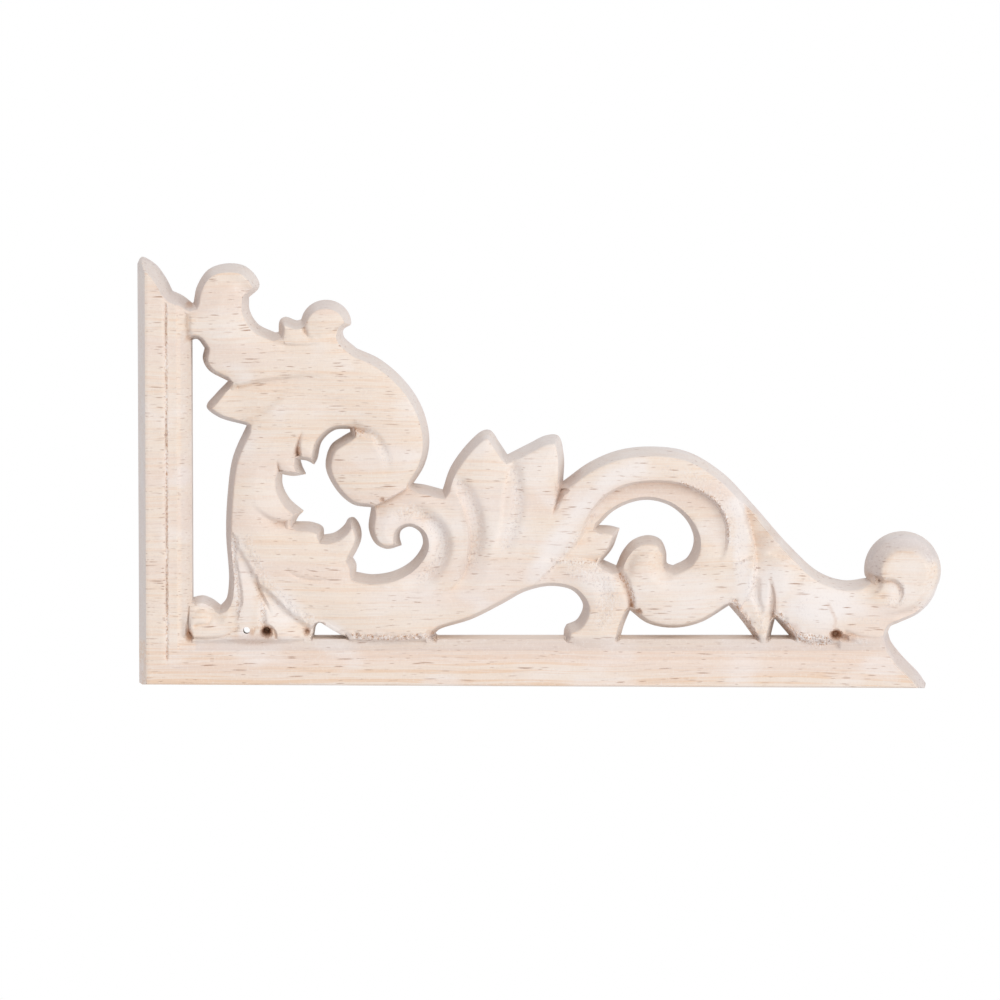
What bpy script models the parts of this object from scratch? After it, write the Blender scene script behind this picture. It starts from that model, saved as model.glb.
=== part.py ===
# A carved wooden corner onlay: an L-shaped moulded rail whose inner angle is filled with
# pierced acanthus scrollwork, all cut from one board. The drawing below is in millimetres,
# x to the right of the board's left edge and z up.
# The model is in metres: its back lies in the XZ plane, and the carving faces -Y.

import math

import bpy
import numpy as np
from mathutils.geometry import delaunay_2d_cdt

# Driving dimensions, in millimetres
BOARD_FOOT = 0.75           # level from which the long rail's moulding is measured
FOOT_LEFT = 0.85            # height of the lower edge at its left end
FOOT_DROP = 0.6             # how much lower it runs out at its right end
BOARD_LENGTH = 130.0
RAIL_INNER_X = 8.95
RAIL_INNER_Z = 8.9
RAIL_TOP = 7.6
MOUNT_X = 4.5
MOUNT_Z = 4.9
SAWN_EDGE = 2.0
WALL_TOP = 7.0
WALL_DRAFT = 1.05
END_DRAFT = 1.5             # how far the rails' end walls lean in
FOOT_STEEPNESS = 1.7        # the lower edge leans in less than the left one by this factor
CROWN = 0.7
CROWN_RUN = 2.2
LOWEST_CUT = 2.6
STRETCH_SLOPE = 3.0
CLEAR_OF_RAIL = 9.0
GAP_RIM = 0.05              # the rims of the gaps beside the rails belong to the rails

# The fine groove of the side rail
GROOVE_X = 4.82
GROOVE_HALF = 0.3
GROOVE_DEPTH = 0.35
GROOVE_ENDS = (5.3, 64.5)

# The bore: it leans up and widens on its way out to the face
PIN_X = 17.7
PIN_Z = 9.6
PIN_RADIUS = 0.52
PIN_LEAN = 0.66
PIN_FLARE = 0.06
PIN_RISE = 5.5
PIN_REACH = 3.0

# Rounded masses: where their shoulder starts, inwards and up
SHOULDER_IN = 0.7
SHOULDER_UP = 5.2

# Mesh fineness, in millimetres
OUTLINE_STEP = 1.05
CREASE_STEP = 1.15
FACE_STEP = 1.45
LONG_STEP = 3.0
MERGE = 0.02
SAME_POINT = 0.12

MM = 0.001

# The rail's outer edge: distance in from it, and thickness there
RAIL_EDGE = ((0.0, 2.0), (1.05, 7.4), (1.4, 7.6), (9.0, 7.6))

# The rail's moulding: place across it, and thickness there
RAIL_MOULDING = (
    (0.0, 7.6), (4.2, 7.58), (5.1, 7.36), (6.5, 7.3), (6.75, 7.05), (7.5, 6.75), (8.3, 6.25), (9.0, 5.5),
)
MOULDING_LINES = (6.5, 7.5, 8.3)
MOULDING_ENDS = (62.5, 123.0)

# Where the carving stands on the rails: a stretch along the foot rail or up the side rail, and
# how steeply it goes down to the rail
FOOT_STRETCHES = (
    (9.0, 28.6, 1.7), (34.4, 48.7, 2.2), (71.4, 79.3, 0.3), (102.2, 104.2, 0.9), (108.6, 115.6, 0.9),
    (115.6, 124.6, 0.15),
)
SIDE_STRETCHES = ((59.2, 63.4, 1.0), (9.4, 14.6, 0.4))


# The outline at the rails' ends, where their walls lean in more
SIDE_RAIL_END = (
    ((0.0, 70.6), (0.6, 71.6), (2.9, 70.4), (4.7, 68.0), (5.7, 66.0)),
    ((5.7, 66.0), (7.4, 65.2), (8.95, 64.0)),
)
FOOT_RAIL_END = ((123.8, 9.6), (124.3, 8.0), (126.1, 5.6), (128.9, 2.7), (130.1, 1.0))


def foot_line(x):
    """Height of the board's lower edge, which isn't quite parallel to the moulding."""
    return FOOT_LEFT - FOOT_DROP * x / BOARD_LENGTH


def curve(*knots, step=OUTLINE_STEP):
    """Points about a step apart on a centripetal Catmull-Rom curve through the knots."""
    k = np.array(knots, float)
    if len(k) == 2:
        count = max(1, round(np.linalg.norm(k[1] - k[0]) / step))
        return k[0] + (k[1] - k[0]) * np.linspace(0, 1, count + 1)[:, None]
    k = np.vstack((2 * k[0] - k[1], k, 2 * k[-1] - k[-2]))
    points = [k[1]]
    for p0, p1, p2, p3 in zip(k[:-3], k[1:-2], k[2:-1], k[3:]):
        t = np.cumsum([0.0] + [np.linalg.norm(b - a) ** 0.5 for a, b in ((p0, p1), (p1, p2), (p2, p3))])
        count = max(1, round(np.linalg.norm(p2 - p1) / step))
        for s in t[1] + (t[2] - t[1]) * np.arange(1, count + 1) / count:
            a1 = p0 + (p1 - p0) * (s - t[0]) / (t[1] - t[0])
            a2 = p1 + (p2 - p1) * (s - t[1]) / (t[2] - t[1])
            a3 = p2 + (p3 - p2) * (s - t[2]) / (t[3] - t[2])
            b1 = a1 + (a2 - a1) * (s - t[0]) / (t[2] - t[0])
            b2 = a2 + (a3 - a2) * (s - t[1]) / (t[3] - t[1])
            points.append(b1 + (b2 - b1) * (s - t[1]) / (t[2] - t[1]))
    return np.array(points)


def arc(centre, radii, start, end, step=OUTLINE_STEP):
    """Points on an elliptical arc from one angle to another, in degrees."""
    turn = math.radians(end - start)
    count = max(4, round(abs(turn) * max(radii) / step))
    a = math.radians(start) + turn * np.arange(count + 1) / count
    return np.column_stack((centre[0] + radii[0] * np.cos(a), centre[1] + radii[1] * np.sin(a)))


def loop(*runs):
    """Joins runs end to end into one closed outline, dropping points that repeat."""
    points = []
    for run in runs:
        for p in run:
            if not points or np.linalg.norm(p - points[-1]) > SAME_POINT:
                points.append(p)
    while np.linalg.norm(points[0] - points[-1]) < SAME_POINT:
        points.pop()
    return np.array(points)


def board_outline():
    """The outer edge, clockwise from the corner of the two rails."""
    rail_end = (
        curve((0.0, 1.2), (0.0, 70.6), step=LONG_STEP),
        *(curve(*knots) for knots in SIDE_RAIL_END),
    )
    top_lobes = (
        curve((9.2, 64.1), (9.8, 66.9), (11.6, 69.5), (14.5, 70.5), (17.6, 70.1), (19.6, 68.2), (20.0, 66.7),
              (18.3, 65.0)),
        curve((18.3, 65.0), (18.4, 62.8), (19.8, 60.5), (22.6, 59.1)),
        curve((23.2, 59.2), (23.4, 61.2), (24.3, 61.7), (26.2, 61.1), (26.9, 61.3)),
        arc((31.0, 60.6), (4.15, 3.9), 168, 2),
        curve((35.1, 60.5), (33.9, 59.7), (33.9, 58.5), (36.0, 56.5)),
    )
    great_scroll = (
        curve((36.0, 56.5), (40.0, 54.6), (44.4, 50.6), (47.0, 46.2), (48.0, 41.2), (47.2, 37.3), (45.3, 34.15)),
    )
    leaf_fan = (
        curve((45.3, 34.15), (47.2, 33.9), (50.2, 33.1)),
        curve((50.2, 33.1), (51.5, 36.8), (54.4, 40.8), (56.9, 42.9), (58.1, 42.9), (59.7, 40.7), (60.9, 38.9)),
        curve((60.9, 38.9), (64.4, 40.7), (67.4, 42.1), (69.3, 42.0), (70.2, 38.8), (70.1, 34.5)),
    )
    long_scroll = (
        curve((70.1, 34.5), (74.6, 37.7), (79.6, 39.7), (85.4, 40.2), (90.8, 39.3), (96.4, 35.9), (101.5, 30.6),
              (107.4, 23.9), (112.4, 19.4), (116.6, 18.0), (120.3, 18.4)),
        arc((126.2, 19.85), (6.3, 6.3), 188, -20),
        curve((132.1, 17.7), (131.0, 15.0), (128.8, 12.7), (125.7, 11.2), (124.2, 10.5), (123.8, 9.6)),
    )
    foot_end = (
        curve(*FOOT_RAIL_END),
        curve((130.1, 1.0), (129.7, foot_line(BOARD_LENGTH))),
        curve((129.7, foot_line(BOARD_LENGTH)), (0.5, foot_line(0.0)), step=LONG_STEP),
    )
    return loop(*rail_end, *top_lobes, *great_scroll, *leaf_fan, *long_scroll, *foot_end)


def side_slot():
    """The tall gap between the side rail and the scrollwork."""
    return loop(
        curve((RAIL_INNER_X, 15.2), (RAIL_INNER_X, 58.1), step=LONG_STEP),
        curve((RAIL_INNER_X, 58.1), (9.9, 58.1), (11.0, 56.7)),
        curve((11.0, 56.7), (10.7, 54.9), (11.7, 53.0), (14.9, 51.2)),
        curve((14.9, 51.2), (12.6, 48.8), (11.3, 47.0), (13.2, 45.3), (17.9, 43.9)),
        curve((17.9, 43.9), (15.6, 38.6), (14.7, 32.3), (14.45, 26.0), (14.9, 18.2), (14.4, 15.0), (13.5, 13.9)),
        curve((13.5, 13.9), (12.0, 15.0), (10.5, 15.5), (RAIL_INNER_X, 15.2)),
    )


def leaf_window():
    """The gap between the toothed leaf and the two curls that turn in towards it."""
    teeth = (
        curve((34.9, 43.3), (32.4, 43.1), (30.3, 41.2), (29.5, 38.2), (29.0, 37.4)),
        curve((29.0, 37.4), (27.9, 38.0), (26.7, 38.2)),
        curve((26.7, 38.2), (27.0, 37.1), (27.6, 35.8)),
        curve((27.6, 35.8), (25.6, 35.5), (23.7, 35.8)),
        curve((23.7, 35.8), (23.8, 33.8), (25.0, 31.5), (27.2, 29.6)),
        curve((27.2, 29.6), (26.4, 28.8), (25.9, 27.8)),
        curve((25.9, 27.8), (28.6, 27.7), (30.4, 26.9), (30.6, 25.6)),
    )
    hook = (
        curve((30.6, 25.6), (32.4, 26.0), (34.0, 27.3), (34.6, 28.3), (35.5, 28.5), (36.5, 27.2), (36.8, 25.3),
              (36.1, 23.3), (35.3, 21.9)),
        curve((35.3, 21.9), (35.9, 20.8), (35.9, 19.4)),
    )
    small_curl = (
        curve((35.9, 19.4), (38.6, 19.0), (42.2, 19.6), (45.2, 21.4), (46.9, 24.1), (46.5, 26.1), (44.8, 27.1),
              (43.4, 26.5), (43.1, 25.3), (43.4, 24.0)),
        curve((43.4, 24.0), (41.0, 23.4), (39.1, 24.3), (38.0, 26.8), (38.4, 30.3)),
    )
    great_curl = (
        curve((38.4, 30.3), (35.4, 30.8), (32.6, 33.3), (30.9, 37.1), (31.7, 40.4), (33.6, 41.9), (35.0, 42.7)),
    )
    return loop(*teeth, *hook, *small_curl, *great_curl)


def foot_gaps():
    """The gaps that the foot rail closes from below, from left to right."""
    under_leaf = loop(
        curve((28.95, RAIL_INNER_Z), (29.35, 10.8), (29.9, 11.2), (31.9, 10.15), (34.1, RAIL_INNER_Z)),
        curve((34.1, RAIL_INNER_Z), (28.95, RAIL_INNER_Z)),
    )
    under_fan = loop(
        curve((48.9, 9.3), (49.6, 10.0), (55.0, 11.75), (60.0, 14.25), (64.0, 16.4), (68.3, 17.25), (71.8, 16.4),
              (73.4, 14.0), (72.4, 11.5), (70.7, 10.7)),
        curve((70.7, 10.7), (70.3, 9.9), (70.2, RAIL_INNER_Z)),
        curve((70.2, RAIL_INNER_Z), (49.4, RAIL_INNER_Z), step=2.6),
    )
    under_belly = loop(
        curve((79.6, RAIL_INNER_Z), (80.2, 10.9), (81.15, 13.2)),
        curve((81.15, 13.2), (84.0, 11.1), (88.2, 10.3), (92.8, 11.2), (97.5, 14.0)),
        curve((97.5, 14.0), (99.6, 11.5), (101.5, RAIL_INNER_Z)),
        curve((101.5, RAIL_INNER_Z), (79.6, RAIL_INNER_Z), step=2.6),
    )
    under_leaflets = loop(
        curve((104.4, RAIL_INNER_Z), (105.1, 11.8)),
        curve((105.1, 11.8), (107.6, RAIL_INNER_Z)),
        curve((107.6, RAIL_INNER_Z), (104.4, RAIL_INNER_Z)),
    )
    return [under_leaf, under_fan, under_belly, under_leaflets]


def scroll_window():
    """The round gap inside the long scroll, with the pointed leaf and the inner curl."""
    return loop(
        curve((75.8, 27.2), (78.4, 29.7), (81.6, 31.2), (84.6, 31.5), (88.0, 30.4), (90.7, 27.8), (91.7, 24.6),
              (90.6, 21.8), (88.3, 20.5)),
        curve((88.3, 20.5), (87.3, 20.9), (87.1, 22.9), (86.2, 24.8), (84.2, 25.5), (81.6, 24.7), (79.9, 22.8),
              (78.9, 20.5)),
        curve((78.9, 20.5), (76.6, 21.5)),
        curve((76.6, 21.5), (78.2, 23.5), (79.4, 26.7)),
        curve((79.4, 26.7), (77.8, 27.1), (75.8, 27.2)),
    )


def pin_hole():
    """The one small bore that goes right through, among the roots of the leaves."""
    return arc((PIN_X, PIN_Z), (PIN_RADIUS, PIN_RADIUS), 0, 315, step=0.3)


# Cuts: a line along which the wood is let down on one side (1 left of the line, -1 right),
# the drops along it, how far the let-down ground runs out, and the width of the step itself
CUTS = (
    # Leaf mass at the head of the great scroll
    (((16.4, 51.2), (20.3, 52.1), (25.0, 52.7), (28.6, 53.0), (31.6, 52.9)), -1, (1.2, 0.9, 0.0), 4.5, 0.8),
    (((18.8, 44.7), (21.3, 45.8), (23.3, 47.4), (25.0, 48.6), (28.6, 50.2)), 1, (0.9, 0.7, 0.0), 4.0, 1.5),
    (((34.4, 60.6), (32.4, 60.6), (30.2, 59.6)), 1, (0.7, 0.2), 2.0, 1.0),
    (((24.4, 57.9), (26.6, 57.8), (28.8, 57.9)), -1, (0.5, 0.3), 2.4, 0.4),
    # Where the great scroll lies over the small curl
    (((45.3, 34.7), (43.4, 33.5), (41.0, 32.2), (39.3, 31.3)), 1, (1.5, 1.4), 2.6, 0.35),
    # Toothed leaf and hook
    (((26.4, 29.8), (25.2, 29.0), (23.3, 28.9), (21.3, 29.9), (20.0, 31.0), (19.2, 31.9)), 1, (1.3, 0.9, 0.0),
     2.8, 0.8),
    (((35.4, 28.2), (34.9, 26.6), (33.3, 25.1), (30.8, 24.6)), -1, (1.2, 0.8, 0.1), 2.4, 0.6),
    # The great leaf's lower rim, over the roots
    (((16.2, 25.6), (18.4, 22.2), (19.3, 20.4), (20.2, 18.6), (21.6, 17.5), (23.0, 16.1), (24.3, 14.7),
      (25.7, 13.4), (28.6, 11.3)), -1, (0.6, 0.9, 1.1, 1.2), 3.4, 0.8),
    (((16.7, 24.0), (16.9, 21.5), (17.1, 19.2), (17.4, 17.0), (17.4, 14.8), (16.8, 13.2)), -1, (0.4, 0.8, 0.5),
     2.2, 0.5),
    # Small curl's rim over the leaf fan
    (((53.2, 31.4), (53.9, 29.2), (54.4, 26.6), (54.3, 23.6), (53.8, 21.2), (52.9, 19.2), (51.4, 17.6),
      (50.0, 16.6)), 1, (0.6, 1.5, 1.3, 0.1), 3.6, 0.5),
    # The two lobes of the fan
    (((60.8, 37.8), (60.3, 35.4), (59.7, 31.4), (59.5, 28.8), (58.3, 24.1), (57.4, 21.5)), 1,
     (0.9, 0.6, 0.5, 0.0), 2.8, 0.7),
    # Channel inside the long scroll
    (((69.3, 22.0), (71.2, 24.0), (72.8, 26.2), (73.9, 29.2), (76.6, 32.7), (79.8, 34.5), (83.0, 35.2),
      (86.4, 35.3), (90.2, 34.7), (93.4, 33.2), (95.9, 31.0), (97.2, 28.0), (97.3, 25.2), (96.6, 22.6),
      (95.2, 21.0)), -1, (0.8, 1.3, 1.7, 1.8, 1.5, 0.0), 9.0, 0.6),
    (((69.0, 22.0), (71.0, 22.0), (73.4, 21.8), (75.4, 21.4), (76.8, 20.9)), 1, (0.5, 1.2), 3.0, 0.5),
    (((68.0, 20.1), (69.4, 20.7), (71.1, 20.9), (70.7, 19.6), (70.5, 18.4)), -1, (0.5, 0.5, 0.3), 1.6, 0.3),
    # The long scroll's tail, and the hollow beside it
    (((97.4, 34.4), (98.7, 32.0), (99.8, 29.0), (100.6, 26.0), (101.1, 23.0), (101.2, 20.5), (100.9, 17.8),
      (100.2, 16.0)), 1, (0.1, 2.0, 2.2, 1.6, 0.9), 4.6, 0.8),
    (((101.3, 22.2), (104.0, 22.5), (106.9, 21.5), (109.9, 19.8), (111.6, 18.9)), 1, (1.0, 1.2, 0.8, 0.1), 4.0,
     0.7),
    (((103.6, 20.8), (104.1, 19.5), (104.6, 18.2), (105.0, 16.5), (105.1, 14.9), (105.0, 12.6)), -1,
     (0.2, 0.9, 1.4), 1.8, 0.35),
    # The bud inside the end curl
    (((122.5, 18.7), (124.0, 18.8), (125.2, 18.3), (125.8, 17.1), (125.7, 16.0), (125.2, 15.0), (124.2, 14.4)),
     -1, (0.9, 0.6, 0.1), 3.0, 0.35),
)

# Grooves: a line, its half widths along it, and its depths along it
GROOVES = (
    (((26.7, 38.3), (26.3, 39.9), (26.6, 41.8), (27.1, 43.4)), (0.6, 0.4), (1.9, 1.0, 0.1)),
    (((23.9, 35.9), (23.3, 37.0), (23.0, 38.4)), (0.5, 0.3), (1.5, 0.1)),
    (((34.7, 43.2), (35.8, 43.7), (37.2, 43.3), (38.2, 42.7)), (1.4, 0.8), (1.2, 0.9, 0.1)),
    (((27.0, 61.3), (27.4, 60.4), (27.9, 59.2), (28.6, 58.5)), (0.6, 0.5), (0.8, 0.7, 0.1)),
    (((70.2, 34.9), (69.6, 33.0), (69.0, 31.4), (68.3, 29.6)), (1.2, 0.7, 0.2), (4.4, 2.6, 0.1)),
    (((19.4, 19.2), (19.9, 17.4), (20.6, 15.7), (21.4, 14.3), (22.0, 13.0)), (0.5, 0.5), (0.5, 0.8, 0.1)),
    (((79.2, 20.0), (80.2, 18.2), (80.8, 16.6), (81.2, 15.0), (81.3, 13.6)), (1.0, 0.9, 0.7), (1.3, 1.0, 1.4)),
    (((9.3, 9.1), (12.0, 9.1), (14.0, 9.4), (15.3, 10.1), (16.4, 10.9)), (0.4, 0.5), (0.7, 0.4)),
    (((22.8, 9.2), (22.5, 10.4), (21.4, 11.3), (20.2, 11.0), (19.2, 10.7)), (0.35, 0.35), (0.5, 0.3)),
    (((116.6, 10.2), (118.5, 9.5), (120.5, 9.2), (123.2, 9.1)), (0.5, 0.4), (0.6, 0.1)),
    (((9.4, 11.2), (10.4, 11.4), (11.5, 11.5), (12.1, 12.6), (11.3, 13.8), (9.9, 13.9), (9.2, 12.8)),
     (0.5, 0.45), (0.5, 0.35, 0.1)),
    (((8.45, 15.4), (8.4, 13.6), (8.3, 11.6), (8.3, 10.2), (8.6, 9.2)), (0.22, 0.25, 0.4), (0.2, 0.9, 2.6)),
    (((122.3, 18.6), (124.0, 18.8), (125.2, 18.3), (125.8, 17.1), (125.7, 16.0), (125.2, 15.0), (124.2, 14.4)),
     (0.4, 0.3), (1.4, 0.6, 0.5, 0.1)),
    (((24.3, 20.5), (26.6, 19.2), (29.9, 18.7), (32.6, 19.0)), (0.5, 0.5), (0.1, 0.45, 0.1)),
)

# Hollows: a line with a dished trough along it, its half width, and its depths
HOLLOWS = (
    (((43.4, 29.6), (45.4, 30.1), (47.6, 28.9), (49.6, 26.6), (50.1, 24.2), (49.5, 22.0), (48.0, 20.0),
      (46.0, 18.7), (43.0, 17.6)), 2.3, (0.3, 1.2, 1.4, 1.1, 0.1)),
    (((53.2, 34.6), (54.6, 32.4), (55.6, 29.4), (55.9, 26.4), (55.4, 23.4)), 1.9, (0.7, 0.8, 0.4)),
    (((62.0, 36.6), (62.6, 33.4), (62.4, 30.2), (61.6, 27.0), (60.6, 24.4)), 1.9, (0.5, 0.9, 0.4)),
    (((37.6, 43.2), (38.9, 42.6), (40.2, 40.9), (41.0, 39.0), (41.2, 37.0)), 1.2, (0.6, 0.4, 0.1)),
    (((15.9, 25.6), (15.8, 23.0), (15.9, 20.6)), 0.7, (0.3, 0.5)),
    (((20.7, 14.2), (20.6, 12.8), (20.6, 11.6)), 0.9, (0.4, 0.8)),
    (((12.6, 67.2), (14.6, 68.0), (16.8, 67.6), (18.0, 66.4)), 1.8, (0.2, 0.4, 0.5)),
    (((101.9, 18.6), (101.9, 16.0), (102.6, 13.2)), 1.0, (0.3, 0.6, 0.3)),
    (((74.6, 19.4), (76.6, 17.2), (77.0, 14.4), (76.2, 12.2)), 2.0, (0.1, 0.4, 0.2)),
)

# Pits: centre, half width, half height and depth
PITS = (
    ((21.2, 10.2), 0.95, 0.9, 4.2),
    ((27.8, 10.1), 0.5, 0.6, 1.2),
    ((115.0, 9.7), 1.1, 0.9, 2.8),
    ((116.4, 9.3), 0.9, 0.7, 1.4),
    ((8.55, 9.3), 0.55, 0.9, 3.0),
    ((23.5, 58.9), 0.7, 0.7, 1.6),
    ((121.4, 18.9), 1.4, 0.7, 1.1),
    ((82.4, 13.6), 0.7, 0.5, 1.2),
    ((39.9, 32.0), 0.4, 0.35, 1.4),
)

# Rounded masses: centre, radius, width over which their edge rolls off, and how round it is
ROUNDS = (
    ((126.2, 19.4), 7.3, 1.8, 1.0),
    ((84.0, 20.5), 4.5, 3.0, 2.0),
    ((10.8, 11.9), 3.6, 3.4, 2.0),
)


def nearest(points, line):
    """Distance, side (+1 left) and place along an open line, 0 to 1, for each point."""
    a = line[:-1]
    ab = line[1:] - a
    length = np.linalg.norm(ab, axis=1)
    before = np.concatenate(([0.0], np.cumsum(length)[:-1]))
    out = np.empty((3, len(points)))
    for first in range(0, len(points), 2000):
        part = points[first:first + 2000]
        ap = part[:, None, :] - a[None]
        t = np.clip((ap * ab).sum(2) / (length ** 2), 0, 1)
        gap = ap - t[..., None] * ab
        distance = np.sqrt((gap ** 2).sum(2))
        i = distance.argmin(axis=1)
        row = np.arange(len(part))
        cross = ab[i, 0] * ap[row, i, 1] - ab[i, 1] * ap[row, i, 0]
        out[0, first:first + 2000] = distance[row, i]
        out[1, first:first + 2000] = np.where(cross >= 0, 1.0, -1.0)
        out[2, first:first + 2000] = (before[i] + t[row, i] * length[i]) / length.sum()
    return out


def edge_distance(points, loops):
    """Distance of each point from the nearest outline."""
    closed = [nearest(points, np.vstack((ring, ring[:1])))[0] for ring in loops]
    return np.min(closed, axis=0)


def inside(points, loops):
    """Which points lie on wood: an odd number of outline edges to their right."""
    crossings = np.zeros(len(points), int)
    x, z = points[:, 0], points[:, 1]
    for ring in loops:
        for (x1, z1), (x2, z2) in zip(ring, np.roll(ring, -1, axis=0)):
            if z1 != z2:
                hit = (z1 > z) != (z2 > z)
                crossings += hit & (x < (x2 - x1) * (z - z1) / (z2 - z1) + x1)
    return crossings % 2 == 1


def at_place(place, values):
    """Evenly spaced values, read off at a place from 0 to 1."""
    return np.interp(place, np.linspace(0, 1, len(values)), values)


def cut_depth(points):
    """How far the carved lines, grooves, hollows and pits let each point down."""
    let_down = np.zeros(len(points))
    for knots, side, drops, reach, lip in CUTS:
        distance, sign, place = nearest(points, curve(*knots, step=0.5))
        s = distance * (sign == side)
        step = np.clip(s / lip, 0, 1)
        step = step * step * (3 - 2 * step)
        shape = np.where(s < lip, step, np.clip(1 - (s - lip) / reach, 0, 1) ** 1.5)
        let_down = np.maximum(let_down, shape * at_place(place, drops))
    for knots, widths, depths in GROOVES:
        distance, sign, place = nearest(points, curve(*knots, step=0.5))
        let_down += at_place(place, depths) * np.clip(1 - distance / at_place(place, widths), 0, 1)
    for knots, width, depths in HOLLOWS:
        distance, sign, place = nearest(points, curve(*knots, step=0.5))
        dish = np.cos(np.clip(distance / width, 0, 1) * math.pi / 2) ** 2
        let_down += at_place(place, depths) * dish
    for centre, half_x, half_z, depth in PITS:
        gap = np.hypot((points[:, 0] - centre[0]) / half_x, (points[:, 1] - centre[1]) / half_z)
        let_down += depth * np.clip(1.6 * (1 - gap), 0, 1)
    return let_down


def pin_mouth(points):
    """Thickness that the leaning, widening bore leaves at each point."""
    dx = points[:, 0] - PIN_X
    dz = points[:, 1] - PIN_Z
    a = PIN_LEAN ** 2 - PIN_FLARE ** 2
    b = -2 * (dz * PIN_LEAN + PIN_RADIUS * PIN_FLARE)
    c = dx * dx + dz * dz - PIN_RADIUS ** 2
    root = b * b - 4 * a * c
    share = (-b - np.sqrt(np.maximum(root, 0))) / (2 * a)
    bored = (b < 0) & (root > 0) & (np.hypot(dx, dz) < PIN_REACH)
    return np.where(bored, SAWN_EDGE + PIN_RISE * share, CLEAR_OF_RAIL)


def carving_thickness(points, depth_in):
    """Thickness of the scrollwork from its distance to the edge and its carved lines."""
    wall = SAWN_EDGE + (WALL_TOP - SAWN_EDGE) * depth_in / WALL_DRAFT
    past = np.clip(depth_in - WALL_DRAFT, 0, None)
    face = WALL_TOP + CROWN * (1 - np.exp(-past / CROWN_RUN))
    for centre, radius, roll, roundness in ROUNDS:
        spread = np.hypot(points[:, 0] - centre[0], points[:, 1] - centre[1])
        share = np.clip((radius - spread) / 1.5, 0, 1)
        rise = np.clip((depth_in - SHOULDER_IN) / roll, 0, 1)
        dome = SHOULDER_UP + (WALL_TOP + CROWN - SHOULDER_UP) * (1 - (1 - rise) ** roundness)
        face = face + (dome - face) * share
    body = np.minimum(wall, np.maximum(face - cut_depth(points), LOWEST_CUT))
    return np.maximum(np.minimum(body, pin_mouth(points)), SAWN_EDGE)


def rail_thickness(points):
    """Thickness of the moulded rails, mitred at the corner."""
    x, z = points[:, 0], points[:, 1]
    outer = np.minimum(x, (z - foot_line(x)) * FOOT_STEEPNESS)
    inner = np.minimum(x, z - BOARD_FOOT)
    edge = np.interp(outer, *np.transpose(RAIL_EDGE))
    moulding = np.interp(inner, *np.transpose(RAIL_MOULDING))
    grooved = (x < z - BOARD_FOOT) & (z > GROOVE_ENDS[0]) & (z < GROOVE_ENDS[1])
    groove = GROOVE_DEPTH * np.clip(1 - np.abs(x - GROOVE_X) / GROOVE_HALF, 0, 1)
    ends = [nearest(points, curve(*knots))[0] for knots in (*SIDE_RAIL_END, FOOT_RAIL_END)]
    end_wall = SAWN_EDGE + (RAIL_TOP - SAWN_EDGE) * np.clip(np.min(ends, axis=0) / END_DRAFT, 0, 1)
    rail = np.minimum(np.minimum(edge, moulding), end_wall)
    return np.maximum(rail - np.where(grooved, groove, 0), SAWN_EDGE)


def thickness_at(points, loops):
    """Thickness of the wood at each point of the drawing."""
    depth_in = edge_distance(points, loops[:-1])
    x, z = points[:, 0], points[:, 1]
    rail = rail_thickness(points)
    carving = carving_thickness(points, depth_in)
    inner_x, inner_z = RAIL_INNER_X + GAP_RIM, RAIL_INNER_Z + GAP_RIM
    let_down = np.full(len(points), CLEAR_OF_RAIL)
    for low, high, slope in FOOT_STRETCHES:
        past_end = np.maximum(0, np.maximum(low - x, x - high))
        sunk = slope * (inner_z - z) + STRETCH_SLOPE * past_end
        let_down = np.where(z < inner_z, np.minimum(let_down, sunk), let_down)
    for low, high, slope in SIDE_STRETCHES:
        past_end = np.maximum(0, np.maximum(low - z, z - high))
        sunk = slope * (inner_x - x) + STRETCH_SLOPE * past_end
        let_down = np.where(x < inner_x, np.minimum(let_down, sunk), let_down)
    on_rail = (x < inner_x) | (z < inner_z)
    return np.where(on_rail, np.maximum(rail, carving - let_down), carving)


def inset_runs(ring, loops, distance):
    """The outline moved inwards by a distance, in runs that stay clear of other edges."""
    ahead = np.roll(ring, -1, axis=0) - ring
    behind = ring - np.roll(ring, 1, axis=0)
    along = ahead / np.linalg.norm(ahead, axis=1)[:, None] + behind / np.linalg.norm(behind, axis=1)[:, None]
    normal = np.column_stack((-along[:, 1], along[:, 0]))
    normal /= np.maximum(np.linalg.norm(normal, axis=1), 1e-6)[:, None]
    moved = ring + normal * distance
    flip = ~inside(ring + normal * 0.05, loops)
    moved[flip] = ring[flip] - normal[flip] * distance
    good = inside(moved, loops) & (edge_distance(moved, loops) > 0.93 * distance)
    return split_runs(np.vstack((moved, moved[:1])), np.append(good, good[0]))


def split_runs(points, good):
    """Cuts a line into the stretches whose points are good."""
    runs = []
    run = []
    for p, keep in zip(points, good):
        if keep:
            run.append(p)
        elif run:
            runs.append(np.array(run))
            run = []
    if run:
        runs.append(np.array(run))
    return runs


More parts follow.
